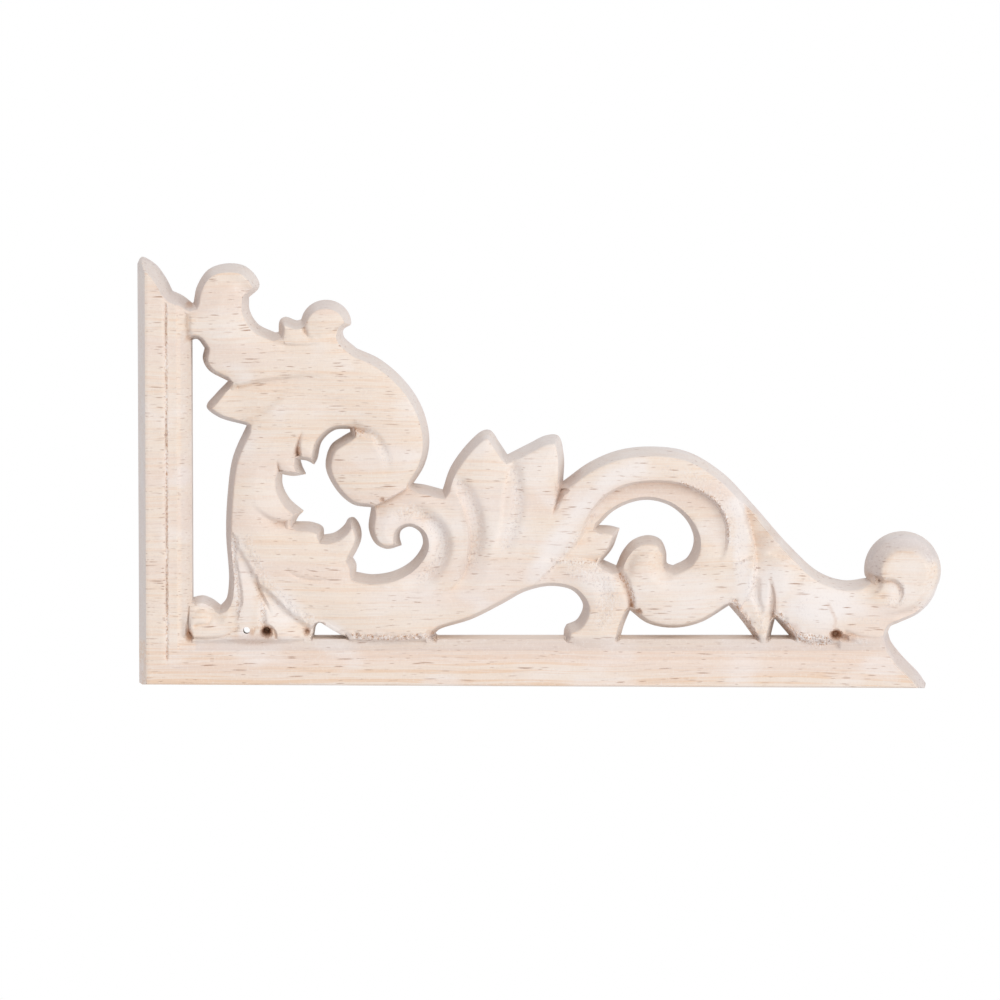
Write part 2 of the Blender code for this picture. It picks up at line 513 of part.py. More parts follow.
def crease_runs(loops):
    """Lines that the mesh follows: both edges of each cut, three of each groove, the moulding."""
    offsets = [(knots, (0.0, side * lip)) for knots, side, drops, reach, lip in CUTS]
    offsets += [(knots, (-min(widths), 0.0, min(widths))) for knots, widths, depths in GROOVES]
    offsets += [(knots, (0.0,)) for knots, width, depths in HOLLOWS]
    runs = []
    for knots, sides in offsets:
        line = curve(*knots, step=CREASE_STEP)
        ahead = np.gradient(line, axis=0)
        left = np.column_stack((-ahead[:, 1], ahead[:, 0])) / np.linalg.norm(ahead, axis=1)[:, None]
        for side in sides:
            moved = line + left * side
            good = inside(moved, loops) & (edge_distance(moved, loops) > 0.8 * WALL_DRAFT)
            runs += split_runs(moved, good)
    for place in (GROOVE_X - GROOVE_HALF, GROOVE_X, GROOVE_X + GROOVE_HALF):
        runs.append(curve((place, GROOVE_ENDS[1]), (place, GROOVE_ENDS[0]), step=2 * LONG_STEP))
    for place in MOULDING_LINES:
        foot = place + BOARD_FOOT
        runs.append(curve((place, MOULDING_ENDS[0]), (place, foot), step=LONG_STEP))
        runs.append(curve((place, foot), (MOULDING_ENDS[1], foot), step=LONG_STEP))
    return runs


def face_points(loops, lines):
    """A triangular grid over the wood, left out near edges and lines."""
    low, high = loops[0].min(axis=0), loops[0].max(axis=0)
    columns = np.arange(low[0], high[0], FACE_STEP)
    rows = np.arange(low[1], high[1], FACE_STEP * math.sqrt(0.75))
    grid = np.array([(x + (i % 2) * FACE_STEP / 2, z) for i, z in enumerate(rows) for x in columns])
    grid = grid[inside(grid, loops)]
    grid = grid[edge_distance(grid, loops) > WALL_DRAFT + 0.4 * FACE_STEP]
    near = np.min([nearest(grid, line)[0] for line in lines if len(line) > 1], axis=0)
    return grid[near > 0.5 * FACE_STEP]


def front_surface(loops):
    """The carved face: points of the drawing and the triangles between them."""
    lines = [run for ring in loops for run in inset_runs(ring, loops, WALL_DRAFT)]
    lines += crease_runs(loops)
    coords = [tuple(p) for ring in loops for p in ring]
    edges = []
    start = 0
    for ring in loops:
        edges += [(start + i, start + (i + 1) % len(ring)) for i in range(len(ring))]
        start += len(ring)
    for line in lines:
        edges += [(len(coords) + i, len(coords) + i + 1) for i in range(len(line) - 1)]
        coords += [tuple(p) for p in line]
    coords += [tuple(p) for p in face_points(loops, lines)]
    return triangles(coords, edges, loops)


def triangles(coords, edges, loops):
    """Delaunay triangles over the wood, keeping the edges, wound anticlockwise."""
    found = delaunay_2d_cdt([tuple(map(float, p)) for p in coords], edges, [], 0, MERGE)
    points = np.array([tuple(p) for p in found[0]])
    faces = np.array([face for face in found[2] if len(face) == 3])
    faces = faces[inside(points[faces].mean(axis=1), loops)]
    a, b, c = (points[faces[:, i]] for i in range(3))
    area = (b[:, 0] - a[:, 0]) * (c[:, 1] - a[:, 1]) - (b[:, 1] - a[:, 1]) * (c[:, 0] - a[:, 0])
    faces[area < 0] = faces[area < 0][:, ::-1]
    used = np.unique(faces)
    renumber = np.full(len(points), -1)
    renumber[used] = np.arange(len(used))
    return points[used], renumber[faces]


def rim_edges(faces):
    """Edges that only one triangle has, in that triangle's direction."""
    directed = {(int(f[i]), int(f[(i + 1) % 3])) for f in faces for i in range(3)}
    return [edge for edge in directed if (edge[1], edge[0]) not in directed]


def closed_solid(loops):
    """Vertices in metres and faces of the board with its carved front."""
    points, faces = front_surface(loops)
    thickness = thickness_at(points, loops)
    front = np.column_stack((points[:, 0] - MOUNT_X, -thickness, points[:, 1] - MOUNT_Z)) * MM
    rim = sorted(rim_edges(faces))
    back_of = {v: len(points) + i for i, v in enumerate(sorted({v for edge in rim for v in edge}))}
    order = sorted(back_of, key=back_of.get)
    back = front[order] * (1, 0, 1)
    place = {v: i for i, v in enumerate(order)}
    back_points, back_faces = triangles(points[order], [(place[a], place[b]) for a, b in rim], loops)
    match = [order[int(np.argmin(((points[order] - p) ** 2).sum(axis=1)))] for p in back_points]
    shell = [tuple(map(int, face)) for face in faces]
    shell += [(b, a, back_of[a], back_of[b]) for a, b in rim]
    shell += [tuple(back_of[match[v]] for v in face[::-1]) for face in back_faces]
    return np.vstack((front, back)), shell


def bare_wood():
    """Pale unfinished hardwood."""
    material = bpy.data.materials.new("bare_wood")
    material.use_nodes = True
    shader = material.node_tree.nodes["Principled BSDF"]
    shader.inputs["Base Color"].default_value = (0.80, 0.62, 0.47, 1.0)
    shader.inputs["Roughness"].default_value = 0.72
    shader.inputs["Metallic"].default_value = 0.0
    return material


def build_onlay():
    """The whole onlay as one solid named object."""
    loops = [board_outline(), side_slot(), leaf_window(), scroll_window(), *foot_gaps(), pin_hole()]
    vertices, faces = closed_solid(loops)
    mesh = bpy.data.meshes.new("corner_onlay")
    mesh.from_pydata(vertices.tolist(), [], faces)
    mesh.validate()
    mesh.materials.append(bare_wood())
    mesh.shade_smooth()
    mesh.set_sharp_from_angle(angle=math.radians(35))
    onlay = bpy.data.objects.new("corner_onlay", mesh)
    bpy.context.collection.objects.link(onlay)
    return onlay


for old in list(bpy.data.objects):
    bpy.data.objects.remove(old)
build_onlay()
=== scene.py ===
# The looks of a carved wooden corner onlay: the relief in fine mesh, its bare wood, and the
# studio. The carving is drawn in millimetres, x to the right of the board's left edge and z up;
# thickness is measured forwards from the flat back, and the model itself is in metres.
import math

import bpy
import numpy as np
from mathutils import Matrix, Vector
from mathutils.geometry import delaunay_2d_cdt
from mathutils.kdtree import KDTree


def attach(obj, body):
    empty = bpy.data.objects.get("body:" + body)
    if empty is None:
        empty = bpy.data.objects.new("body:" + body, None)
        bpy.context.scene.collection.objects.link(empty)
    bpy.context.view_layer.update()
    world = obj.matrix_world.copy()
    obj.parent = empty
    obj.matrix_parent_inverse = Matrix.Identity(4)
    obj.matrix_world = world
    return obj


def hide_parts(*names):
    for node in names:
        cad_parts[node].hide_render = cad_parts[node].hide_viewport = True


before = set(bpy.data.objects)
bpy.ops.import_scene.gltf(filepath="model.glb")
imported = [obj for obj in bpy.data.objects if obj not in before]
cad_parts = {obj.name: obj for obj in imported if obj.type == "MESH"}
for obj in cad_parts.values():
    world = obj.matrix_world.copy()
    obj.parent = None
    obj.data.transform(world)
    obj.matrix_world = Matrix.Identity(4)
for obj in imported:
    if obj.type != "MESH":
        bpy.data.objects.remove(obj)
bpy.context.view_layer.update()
mm = 0.001

board = {
    "origin": (4.5, 4.9),       # the point of the drawing that is the model's origin
    "length": 130.0,
    "foot": 0.75,               # height of the lower edge
    "leftFoot": 0.85,           # its height at the left end: it isn't quite parallel to the rail
    "footFall": 0.6,            # and how far it falls from there to the right end
    "sawnEdge": 2.0,            # height of the upright sawn edge above the back
    "wallTop": 7.0,             # thickness where a leaning wall meets the face
    "wallDraft": 1.05,          # how far a wall leans in on its way up
    "crown": 0.7,               # swell of the face between its edges
    "crownRun": 2.2,
    "domeFoot": 5.2,            # thickness at the edge of a rounded mass
    "domeStart": 0.7,           # how far in it starts to rise
    "domeFade": 1.5,            # and over what width it blends into the face
    "lowestCut": 2.6,           # no cut leaves less wood than this
    "ragPitches": ((0.62, 0.8), (0.35, 0.4)),  # spacing of the rags, coarse and fine
    "wallRags": 0.5,            # their share on the walls
    "boreMargin": 0.1,          # the bore's rim lies within this of its radius
    "arris": 0.09,              # softness of the edge between wall and face
    "runOut": 1.5,              # how quickly the let-down ground runs out, as a power
    "outlineStep": 0.34,        # spacing of points along the outline
    "faceStep": 0.31,           # on the face
    "rowPitch": 0.866,          # between its rows, as a share of that
    "lineStep": 0.3,            # and along the lines of the cuts
    "edgeSample": 0.04,         # along the outline that distances are measured from
    "markStep": 0.4,            # and along the lines of rough and coloured places
    "closest": 0.12,            # outline points nearer than this are one
    "probe": 0.05,              # how far beside the outline the wood is looked for
    "insetShare": 0.95,         # an inset row keeps this share of its distance to the edge
    "edgeGap": 0.5,             # the face's points keep these shares of their step from the
    "lineGap": 0.55,            # insets and from other lines
    "insets": (0.35, 0.7, 0.92, 1.05, 1.2, 1.42),  # rows of points that follow the outline
}

rails = {
    "innerX": 8.95,             # where the short rail ends and the open slot starts
    "innerZ": 8.9,              # where the long rail ends and the gaps start
    "gapRim": 0.05,             # the rims of the slot and the gaps are the rails' too
    "top": 7.6,                 # thickness of their flats
    "footSteepness": 2.0,       # how much steeper the wall under the long rail is
    "endDraft": 1.5,            # how far the walls at the rails' ends lean in
    "stretchEnd": 3.0,          # how steeply the carving sinks past the end of a stretch
    "grooveX": 4.82,            # the fine groove in the short rail
    "grooveHalf": 0.3,
    "grooveEnds": (5.3, 64.5),
    "grooveDepths": (0.16, 0.5),  # everywhere, and how much more where it is deepest
    "groovePitch": (2.0, 2.7),  # spacing of its deeper stretches, and of the faint line's
    "faintPitch": (9.0, 2.0),
    "faintZ": 5.7,              # the faint line along the long rail
    "faintHalf": 0.4,
    "faintDepth": 0.15,
    # Distance in from the outer edge, and thickness there
    "edge": ((0.0, 2.0), (1.3, 7.15), (1.42, 7.45), (1.7, 7.6), (9.0, 7.6)),
    # Place across the moulding, and thickness there
    "moulding": (
        (0.0, 7.6), (4.2, 7.58), (4.6, 7.4), (5.1, 7.36), (6.5, 7.3), (6.75, 7.05), (7.1, 6.9),
        (7.5, 6.75), (7.9, 6.55), (8.3, 6.25), (9.0, 5.5),
    ),
}

# Where the carving stands on the rails: a stretch along the long rail or up the short one, and
# how steeply it goes down to the rail
footStretches = (
    (9.0, 28.6, 1.7), (34.4, 48.7, 2.2), (71.4, 79.3, 0.3), (102.2, 104.2, 0.9),
    (108.6, 115.6, 0.9), (115.6, 124.6, 0.15),
)
sideStretches = ((59.2, 63.4, 1.0), (9.4, 14.6, 0.4))

# The outline at the rails' ends, where their walls lean in more
sideRailEnd = (
    ((0.0, 70.6), (0.6, 71.6), (2.9, 70.4), (4.7, 68.0), (5.7, 66.0)),
    ((5.7, 66.0), (7.4, 65.2), (8.95, 64.0)),
)
footRailEnd = ((123.8, 9.6), (124.3, 8.0), (126.1, 5.6), (128.9, 2.7), (130.1, 1.0))


def footLine(x):
    return board["leftFoot"] - board["footFall"] * x / board["length"]


def curve(*knots, step=board["outlineStep"]):
    k = np.array(knots, float)
    if len(k) == 2:
        count = max(1, round(np.linalg.norm(k[1] - k[0]) / step))
        return k[0] + (k[1] - k[0]) * np.linspace(0, 1, count + 1)[:, None]
    k = np.vstack((2 * k[0] - k[1], k, 2 * k[-1] - k[-2]))  # Catmull-Rom, centripetal
    points = [k[1]]
    for p0, p1, p2, p3 in zip(k[:-3], k[1:-2], k[2:-1], k[3:]):
        gaps = [np.linalg.norm(b - a) ** 0.5 for a, b in ((p0, p1), (p1, p2), (p2, p3))]
        t = np.cumsum([0.0] + gaps)
        count = max(1, round(np.linalg.norm(p2 - p1) / step))
        for s in t[1] + (t[2] - t[1]) * np.arange(1, count + 1) / count:
            a1 = p0 + (p1 - p0) * (s - t[0]) / (t[1] - t[0])
            a2 = p1 + (p2 - p1) * (s - t[1]) / (t[2] - t[1])
            a3 = p2 + (p3 - p2) * (s - t[2]) / (t[3] - t[2])
            b1 = a1 + (a2 - a1) * (s - t[0]) / (t[2] - t[0])
            b2 = a2 + (a3 - a2) * (s - t[1]) / (t[3] - t[1])
            points.append(b1 + (b2 - b1) * (s - t[1]) / (t[2] - t[1]))
    return np.array(points)


def arc(centre, radii, start, end, step=board["outlineStep"]):
    turn = math.radians(end - start)
    count = max(4, round(abs(turn) * max(radii) / step))
    a = math.radians(start) + turn * np.arange(count + 1) / count
    return np.column_stack((centre[0] + radii[0] * np.cos(a), centre[1] + radii[1] * np.sin(a)))


def loop(*runs):
    points = []
    for run in runs:
        for p in run:
            if not points or np.linalg.norm(p - points[-1]) > board["closest"]:
                points.append(p)
    while np.linalg.norm(points[0] - points[-1]) < board["closest"]:
        points.pop()
    return np.array(points)


def boardOutline():
    railEnd = (
        curve((0.0, 1.2), (0.0, 70.6)),
        *(curve(*knots) for knots in sideRailEnd),
    )
    topLobes = (
        curve((9.2, 64.1), (9.8, 66.9), (11.6, 69.5), (14.5, 70.5), (17.6, 70.1), (19.6, 68.2),
              (20.0, 66.7), (18.3, 65.0)),
        curve((18.3, 65.0), (18.4, 62.8), (19.8, 60.5), (22.6, 59.1)),
        curve((23.2, 59.2), (23.4, 61.2), (24.3, 61.7), (26.2, 61.1), (26.9, 61.3)),
        arc((31.0, 60.6), (4.15, 3.9), 168, 2),
        curve((35.1, 60.5), (33.9, 59.7), (33.9, 58.5), (36.0, 56.5)),
    )
    greatScroll = (
        curve((36.0, 56.5), (40.0, 54.6), (44.4, 50.6), (47.0, 46.2), (48.0, 41.2), (47.2, 37.3),
              (45.3, 34.15)),
    )
    leafFan = (
        curve((45.3, 34.15), (47.2, 33.9), (50.2, 33.1)),
        curve((50.2, 33.1), (51.5, 36.8), (54.4, 40.8), (56.9, 42.9), (58.1, 42.9), (59.7, 40.7),
              (60.9, 38.9)),
        curve((60.9, 38.9), (64.4, 40.7), (67.4, 42.1), (69.3, 42.0), (70.2, 38.8), (70.1, 34.5)),
    )
    longScroll = (
        curve((70.1, 34.5), (74.6, 37.7), (79.6, 39.7), (85.4, 40.2), (90.8, 39.3), (96.4, 35.9),
              (101.5, 30.6), (107.4, 23.9), (112.4, 19.4), (116.6, 18.0), (120.3, 18.4)),
        arc((126.2, 19.85), (6.3, 6.3), 188, -20),
        curve((132.1, 17.7), (131.0, 15.0), (128.8, 12.7), (125.7, 11.2), (124.2, 10.5),
              (123.8, 9.6)),
    )
    footEnd = (
        curve(*footRailEnd),
        curve((130.1, 1.0), (129.7, footLine(130.0))),
        curve((129.7, footLine(130.0)), (0.5, footLine(0.0))),
    )
    return loop(*railEnd, *topLobes, *greatScroll, *leafFan, *longScroll, *footEnd)


def sideSlot():
    innerX = rails["innerX"]
    return loop(
        curve((innerX, 15.2), (innerX, 58.1)),
        curve((innerX, 58.1), (9.9, 58.1), (11.0, 56.7)),
        curve((11.0, 56.7), (10.7, 54.9), (11.7, 53.0), (14.9, 51.2)),
        curve((14.9, 51.2), (12.6, 48.8), (11.3, 47.0), (13.2, 45.3), (17.9, 43.9)),
        curve((17.9, 43.9), (15.6, 38.6), (14.7, 32.3), (14.45, 26.0), (14.9, 18.2), (14.4, 15.0),
              (13.5, 13.9)),
        curve((13.5, 13.9), (12.0, 15.0), (10.5, 15.5), (innerX, 15.2)),
    )


def leafWindow():
    teeth = (
        curve((34.9, 43.3), (32.4, 43.1), (30.3, 41.2), (29.5, 38.2), (29.0, 37.4)),
        curve((29.0, 37.4), (27.9, 38.0), (26.7, 38.2)),
        curve((26.7, 38.2), (27.0, 37.1), (27.6, 35.8)),
        curve((27.6, 35.8), (25.6, 35.5), (23.7, 35.8)),
        curve((23.7, 35.8), (23.8, 33.8), (25.0, 31.5), (27.2, 29.6)),
        curve((27.2, 29.6), (26.4, 28.8), (25.9, 27.8)),
        curve((25.9, 27.8), (28.6, 27.7), (30.4, 26.9), (30.6, 25.6)),
    )
    hook = (
        curve((30.6, 25.6), (32.4, 26.0), (34.0, 27.3), (34.6, 28.3), (35.5, 28.5), (36.5, 27.2),
              (36.8, 25.3), (36.1, 23.3), (35.3, 21.9)),
        curve((35.3, 21.9), (35.9, 20.8), (35.9, 19.4)),
    )
    smallCurl = (
        curve((35.9, 19.4), (38.6, 19.0), (42.2, 19.6), (45.2, 21.4), (46.9, 24.1), (46.5, 26.1),
              (44.8, 27.1), (43.4, 26.5), (43.1, 25.3), (43.4, 24.0)),
        curve((43.4, 24.0), (41.0, 23.4), (39.1, 24.3), (38.0, 26.8), (38.4, 30.3)),
    )
    greatCurl = (
        curve((38.4, 30.3), (35.4, 30.8), (32.6, 33.3), (30.9, 37.1), (31.7, 40.4), (33.6, 41.9),
              (35.0, 42.7)),
    )
    return loop(*teeth, *hook, *smallCurl, *greatCurl)


def footGaps():
    innerZ = rails["innerZ"]
    underLeaf = loop(
        curve((28.95, innerZ), (29.35, 10.8), (29.9, 11.2), (31.9, 10.15), (34.1, innerZ)),
        curve((34.1, innerZ), (28.95, innerZ)),
    )
    underFan = loop(
        curve((48.9, 9.3), (49.6, 10.0), (55.0, 11.75), (60.0, 14.25), (64.0, 16.4),
              (68.3, 17.25), (71.8, 16.4), (73.4, 14.0), (72.4, 11.5), (70.7, 10.7)),
        curve((70.7, 10.7), (70.3, 9.9), (70.2, innerZ)),
        curve((70.2, innerZ), (49.4, innerZ)),
    )
    underBelly = loop(
        curve((79.6, innerZ), (80.2, 10.9), (81.15, 13.2)),
        curve((81.15, 13.2), (84.0, 11.1), (88.2, 10.3), (92.8, 11.2), (97.5, 14.0)),
        curve((97.5, 14.0), (99.6, 11.5), (101.5, innerZ)),
        curve((101.5, innerZ), (79.6, innerZ)),
    )
    underLeaflets = loop(
        curve((104.4, innerZ), (105.1, 11.8)),
        curve((105.1, 11.8), (107.6, innerZ)),
        curve((107.6, innerZ), (104.4, innerZ)),
    )
    return [underLeaf, underFan, underBelly, underLeaflets]


def scrollWindow():
    return loop(
        curve((75.8, 27.2), (78.4, 29.7), (81.6, 31.2), (84.6, 31.5), (88.0, 30.4), (90.7, 27.8),
              (91.7, 24.6), (90.6, 21.8), (88.3, 20.5)),
        curve((88.3, 20.5), (87.3, 20.9), (87.1, 22.9), (86.2, 24.8), (84.2, 25.5), (81.6, 24.7),
              (79.9, 22.8), (78.9, 20.5)),
        curve((78.9, 20.5), (76.6, 21.5)),
        curve((76.6, 21.5), (78.2, 23.5), (79.4, 26.7)),
        curve((79.4, 26.7), (77.8, 27.1), (75.8, 27.2)),
    )


# The one small bore: centre of its mouth, radius, and how far below and left it ends at the back
pin = {"x": 17.95, "z": 10.5, "radius": 0.56, "lean": 0.70, "aside": 0.12}


def pinHole():
    return arc((pin["x"], pin["z"]), (pin["radius"], pin["radius"]), 0, 330, step=0.2)


# Cuts: a line along which the wood is let down on one side (1 left of the line, -1 right),
# the drops along it, how far the let-down ground runs out, and the width of the step itself
cuts = (
    # Leaf mass at the head of the great scroll
    (((16.4, 51.2), (20.3, 52.1), (25.0, 52.7), (28.6, 53.0), (31.6, 52.9)), -1, (1.2, 0.9, 0.0),
     4.5, 0.8),
    (((18.8, 44.7), (21.3, 45.8), (23.3, 47.4), (25.0, 48.6), (28.6, 50.2)), 1, (0.9, 0.7, 0.0),
     4.0, 1.5),
    (((34.4, 60.6), (32.4, 60.6), (30.2, 59.6)), 1, (0.7, 0.2), 2.0, 1.0),
    (((24.4, 57.9), (26.6, 57.8), (28.8, 57.9)), -1, (0.5, 0.3), 2.4, 0.4),
    # Where the great scroll lies over the small curl
    (((45.3, 34.7), (43.4, 33.5), (41.0, 32.2), (39.3, 31.3)), 1, (1.5, 1.4), 2.6, 0.35),
    # Toothed leaf and hook
    (((26.4, 29.8), (25.2, 29.0), (23.3, 28.9), (21.3, 29.9), (20.0, 31.0), (19.2, 31.9)), 1,
     (1.3, 0.9, 0.0), 2.8, 0.8),
    (((35.4, 28.2), (34.9, 26.6), (33.3, 25.1), (30.8, 24.6)), -1, (1.2, 0.8, 0.1), 2.4, 0.6),
    # The great leaf's lower rim, over the roots
    (((16.2, 25.6), (18.4, 22.2), (19.3, 20.4), (20.2, 18.6), (21.6, 17.5), (23.0, 16.1),
      (24.3, 14.7), (25.7, 13.4), (28.6, 11.3)), -1, (0.5, 0.8, 1.0, 1.1), 3.4, 1.0),
    (((16.7, 24.0), (16.9, 21.5), (17.1, 19.2), (17.4, 17.0), (17.4, 14.8), (16.8, 13.2)), -1,
     (0.4, 0.8, 0.5), 2.2, 0.5),
    # Small curl's rim over the leaf fan
    (((53.2, 31.4), (53.9, 29.2), (54.4, 26.6), (54.3, 23.6), (53.8, 21.2), (52.9, 19.2),
      (51.4, 17.6), (50.0, 16.6)), 1, (0.6, 1.5, 1.3, 0.1), 3.6, 0.5),
    # The two lobes of the fan
    (((60.8, 37.8), (60.3, 35.4), (59.7, 31.4), (59.5, 28.8), (58.3, 24.1), (57.4, 21.5)), 1,
     (0.8, 0.5, 0.4, 0.0), 2.8, 0.8),
    # Channel inside the long scroll
    (((69.3, 22.0), (71.2, 24.0), (72.8, 26.2), (73.9, 29.2), (76.6, 32.7), (79.8, 34.5),
      (83.0, 35.2), (86.4, 35.3), (90.2, 34.7), (93.4, 33.2), (95.9, 31.0), (97.2, 28.0),
      (97.3, 25.2), (96.6, 22.6), (95.2, 21.0)), -1, (0.8, 1.3, 1.7, 1.8, 1.5, 0.0), 9.0, 0.6),
    (((69.0, 22.0), (71.0, 22.0), (73.4, 21.8), (75.4, 21.4), (76.8, 20.9)), 1, (0.5, 1.2),
     3.0, 0.5),
    (((68.0, 20.1), (69.4, 20.7), (71.1, 20.9), (70.7, 19.6), (70.5, 18.4)), -1, (0.5, 0.5, 0.3),
     1.6, 0.3),
    # The long scroll's tail, and the hollow beside it
    (((97.4, 34.4), (98.7, 32.0), (99.8, 29.0), (100.6, 26.0), (101.1, 23.0), (101.2, 20.5),
      (100.9, 17.8), (100.2, 16.0)), 1, (0.1, 2.0, 2.2, 1.6, 0.9), 4.6, 0.8),
    (((101.3, 22.2), (104.0, 22.5), (106.9, 21.5), (109.9, 19.8), (111.6, 18.9)), 1,
     (1.0, 1.2, 0.8, 0.1), 4.0, 0.7),
    (((103.6, 20.8), (104.1, 19.5), (104.6, 18.2), (105.0, 16.5), (105.1, 14.9), (105.0, 12.6)),
     -1, (0.2, 0.9, 1.4), 1.8, 0.35),
    # The bud inside the end curl
    (((122.5, 18.7), (124.0, 18.8), (125.2, 18.3), (125.8, 17.1), (125.7, 16.0), (125.2, 15.0),
      (124.2, 14.4)), -1, (0.9, 0.6, 0.1), 3.0, 0.35),
)

# Grooves: a line, its half widths along it, and its depths along it
grooves = (
    (((26.7, 38.3), (26.3, 39.9), (26.6, 41.8), (27.1, 43.4)), (0.6, 0.4), (1.9, 1.0, 0.1)),
    (((23.9, 35.9), (23.3, 37.0), (23.0, 38.4)), (0.5, 0.3), (1.5, 0.1)),
    (((34.7, 43.2), (35.8, 43.7), (37.2, 43.3), (38.2, 42.7)), (1.4, 0.8), (1.2, 0.9, 0.1)),
    (((27.0, 61.3), (27.4, 60.4), (27.9, 59.2), (28.6, 58.5)), (0.6, 0.5), (0.8, 0.7, 0.1)),
    (((70.2, 34.9), (69.6, 33.0), (69.0, 31.4), (68.3, 29.6)), (0.8, 0.6, 0.3), (2.8, 1.5, 0.1)),
    (((19.4, 19.2), (19.9, 17.4), (20.6, 15.7), (21.4, 14.3), (22.0, 13.0)), (0.5, 0.5),
     (0.5, 0.8, 0.1)),
    (((79.2, 20.0), (80.2, 18.2), (80.8, 16.6), (81.2, 15.0), (81.3, 13.6)), (1.0, 0.9, 0.7),
     (1.3, 1.0, 1.4)),
    (((9.3, 9.1), (12.0, 9.1), (14.0, 9.4), (15.3, 10.1), (16.4, 10.9)), (0.4, 0.5), (0.7, 0.4)),
    (((22.8, 9.2), (22.5, 10.4), (21.4, 11.3), (20.2, 11.0), (19.2, 10.7)), (0.35, 0.35),
     (0.5, 0.3)),
    (((116.6, 10.2), (118.5, 9.5), (120.5, 9.2), (123.2, 9.1)), (0.5, 0.4), (0.6, 0.1)),
    (((9.4, 11.2), (10.4, 11.4), (11.5, 11.5), (12.1, 12.6), (11.3, 13.8), (9.9, 13.9),
      (9.2, 12.8)), (0.5, 0.45), (0.5, 0.35, 0.1)),
    (((8.45, 15.4), (8.4, 13.6), (8.3, 11.6), (8.3, 10.2), (8.6, 9.2)), (0.22, 0.25, 0.4),
     (0.2, 0.9, 2.6)),
    (((122.3, 18.6), (124.0, 18.8), (125.2, 18.3), (125.8, 17.1), (125.7, 16.0), (125.2, 15.0),
      (124.2, 14.4)), (0.4, 0.3), (0.5, 0.6, 0.5, 0.1)),
    (((24.3, 20.5), (26.6, 19.2), (29.9, 18.7), (32.6, 19.0)), (0.5, 0.5), (0.1, 0.45, 0.1)),
)

# Hollows: a line with a dished trough along it, its half width, and its depths
hollows = (
    (((43.4, 29.6), (45.4, 30.1), (47.6, 28.9), (49.6, 26.6), (50.1, 24.2), (49.5, 22.0),
      (48.0, 20.0), (46.0, 18.7), (43.0, 17.6)), 2.3, (0.3, 1.2, 1.4, 1.1, 0.1)),
    (((53.2, 34.6), (54.6, 32.4), (55.6, 29.4), (55.9, 26.4), (55.4, 23.4)), 1.9,
     (0.5, 0.6, 0.3)),
    (((62.0, 36.6), (62.6, 33.4), (62.4, 30.2), (61.6, 27.0), (60.6, 24.4)), 1.9,
     (0.4, 0.6, 0.3)),
    (((37.6, 43.2), (38.9, 42.6), (40.2, 40.9), (41.0, 39.0), (41.2, 37.0)), 1.2,
     (0.6, 0.4, 0.1)),
    (((15.9, 25.6), (15.8, 23.0), (15.9, 20.6)), 0.7, (0.3, 0.5)),
    (((20.7, 14.2), (20.6, 12.8), (20.6, 11.6)), 0.9, (0.4, 0.8)),
    (((12.6, 67.2), (14.6, 68.0), (16.8, 67.6), (18.0, 66.4)), 1.8, (0.2, 0.4, 0.5)),
    (((101.9, 18.6), (101.9, 16.0), (102.6, 13.2)), 1.0, (0.3, 0.6, 0.3)),
    (((74.6, 19.4), (76.6, 17.2), (77.0, 14.4), (76.2, 12.2)), 2.0, (0.1, 0.4, 0.2)),
)

# Pits: centre, half width, half height and depth
pits = (
    ((21.2, 10.2), 0.95, 0.9, 4.2),
    ((27.8, 10.1), 0.5, 0.6, 1.2),
    ((115.0, 9.7), 1.1, 0.9, 2.8),
    ((116.4, 9.3), 0.9, 0.7, 1.4),
    ((8.55, 9.3), 0.55, 0.9, 3.0),
    ((23.5, 58.9), 0.7, 0.7, 1.6),
    ((121.4, 18.9), 1.4, 0.7, 1.1),
    ((82.4, 13.6), 0.7, 0.5, 1.2),
    ((40.3, 32.0), 0.4, 0.35, 0.9),
)

# Rounded masses: centre, radius, width over which their edge rolls off, and how round it is
rounds = (
    ((126.2, 19.4), 7.3, 1.8, 1.0),
    ((84.0, 20.5), 4.5, 3.0, 2.0),
    ((10.8, 11.9), 3.6, 3.4, 2.0),
)

# Places where the walls lean in less: centre, half width, half height, and how much less
steepPlaces = (
    ((31.4, 10.0), 4.6, 2.8, 0.65),
    ((11.6, 15.2), 3.4, 1.6, 0.3),
)

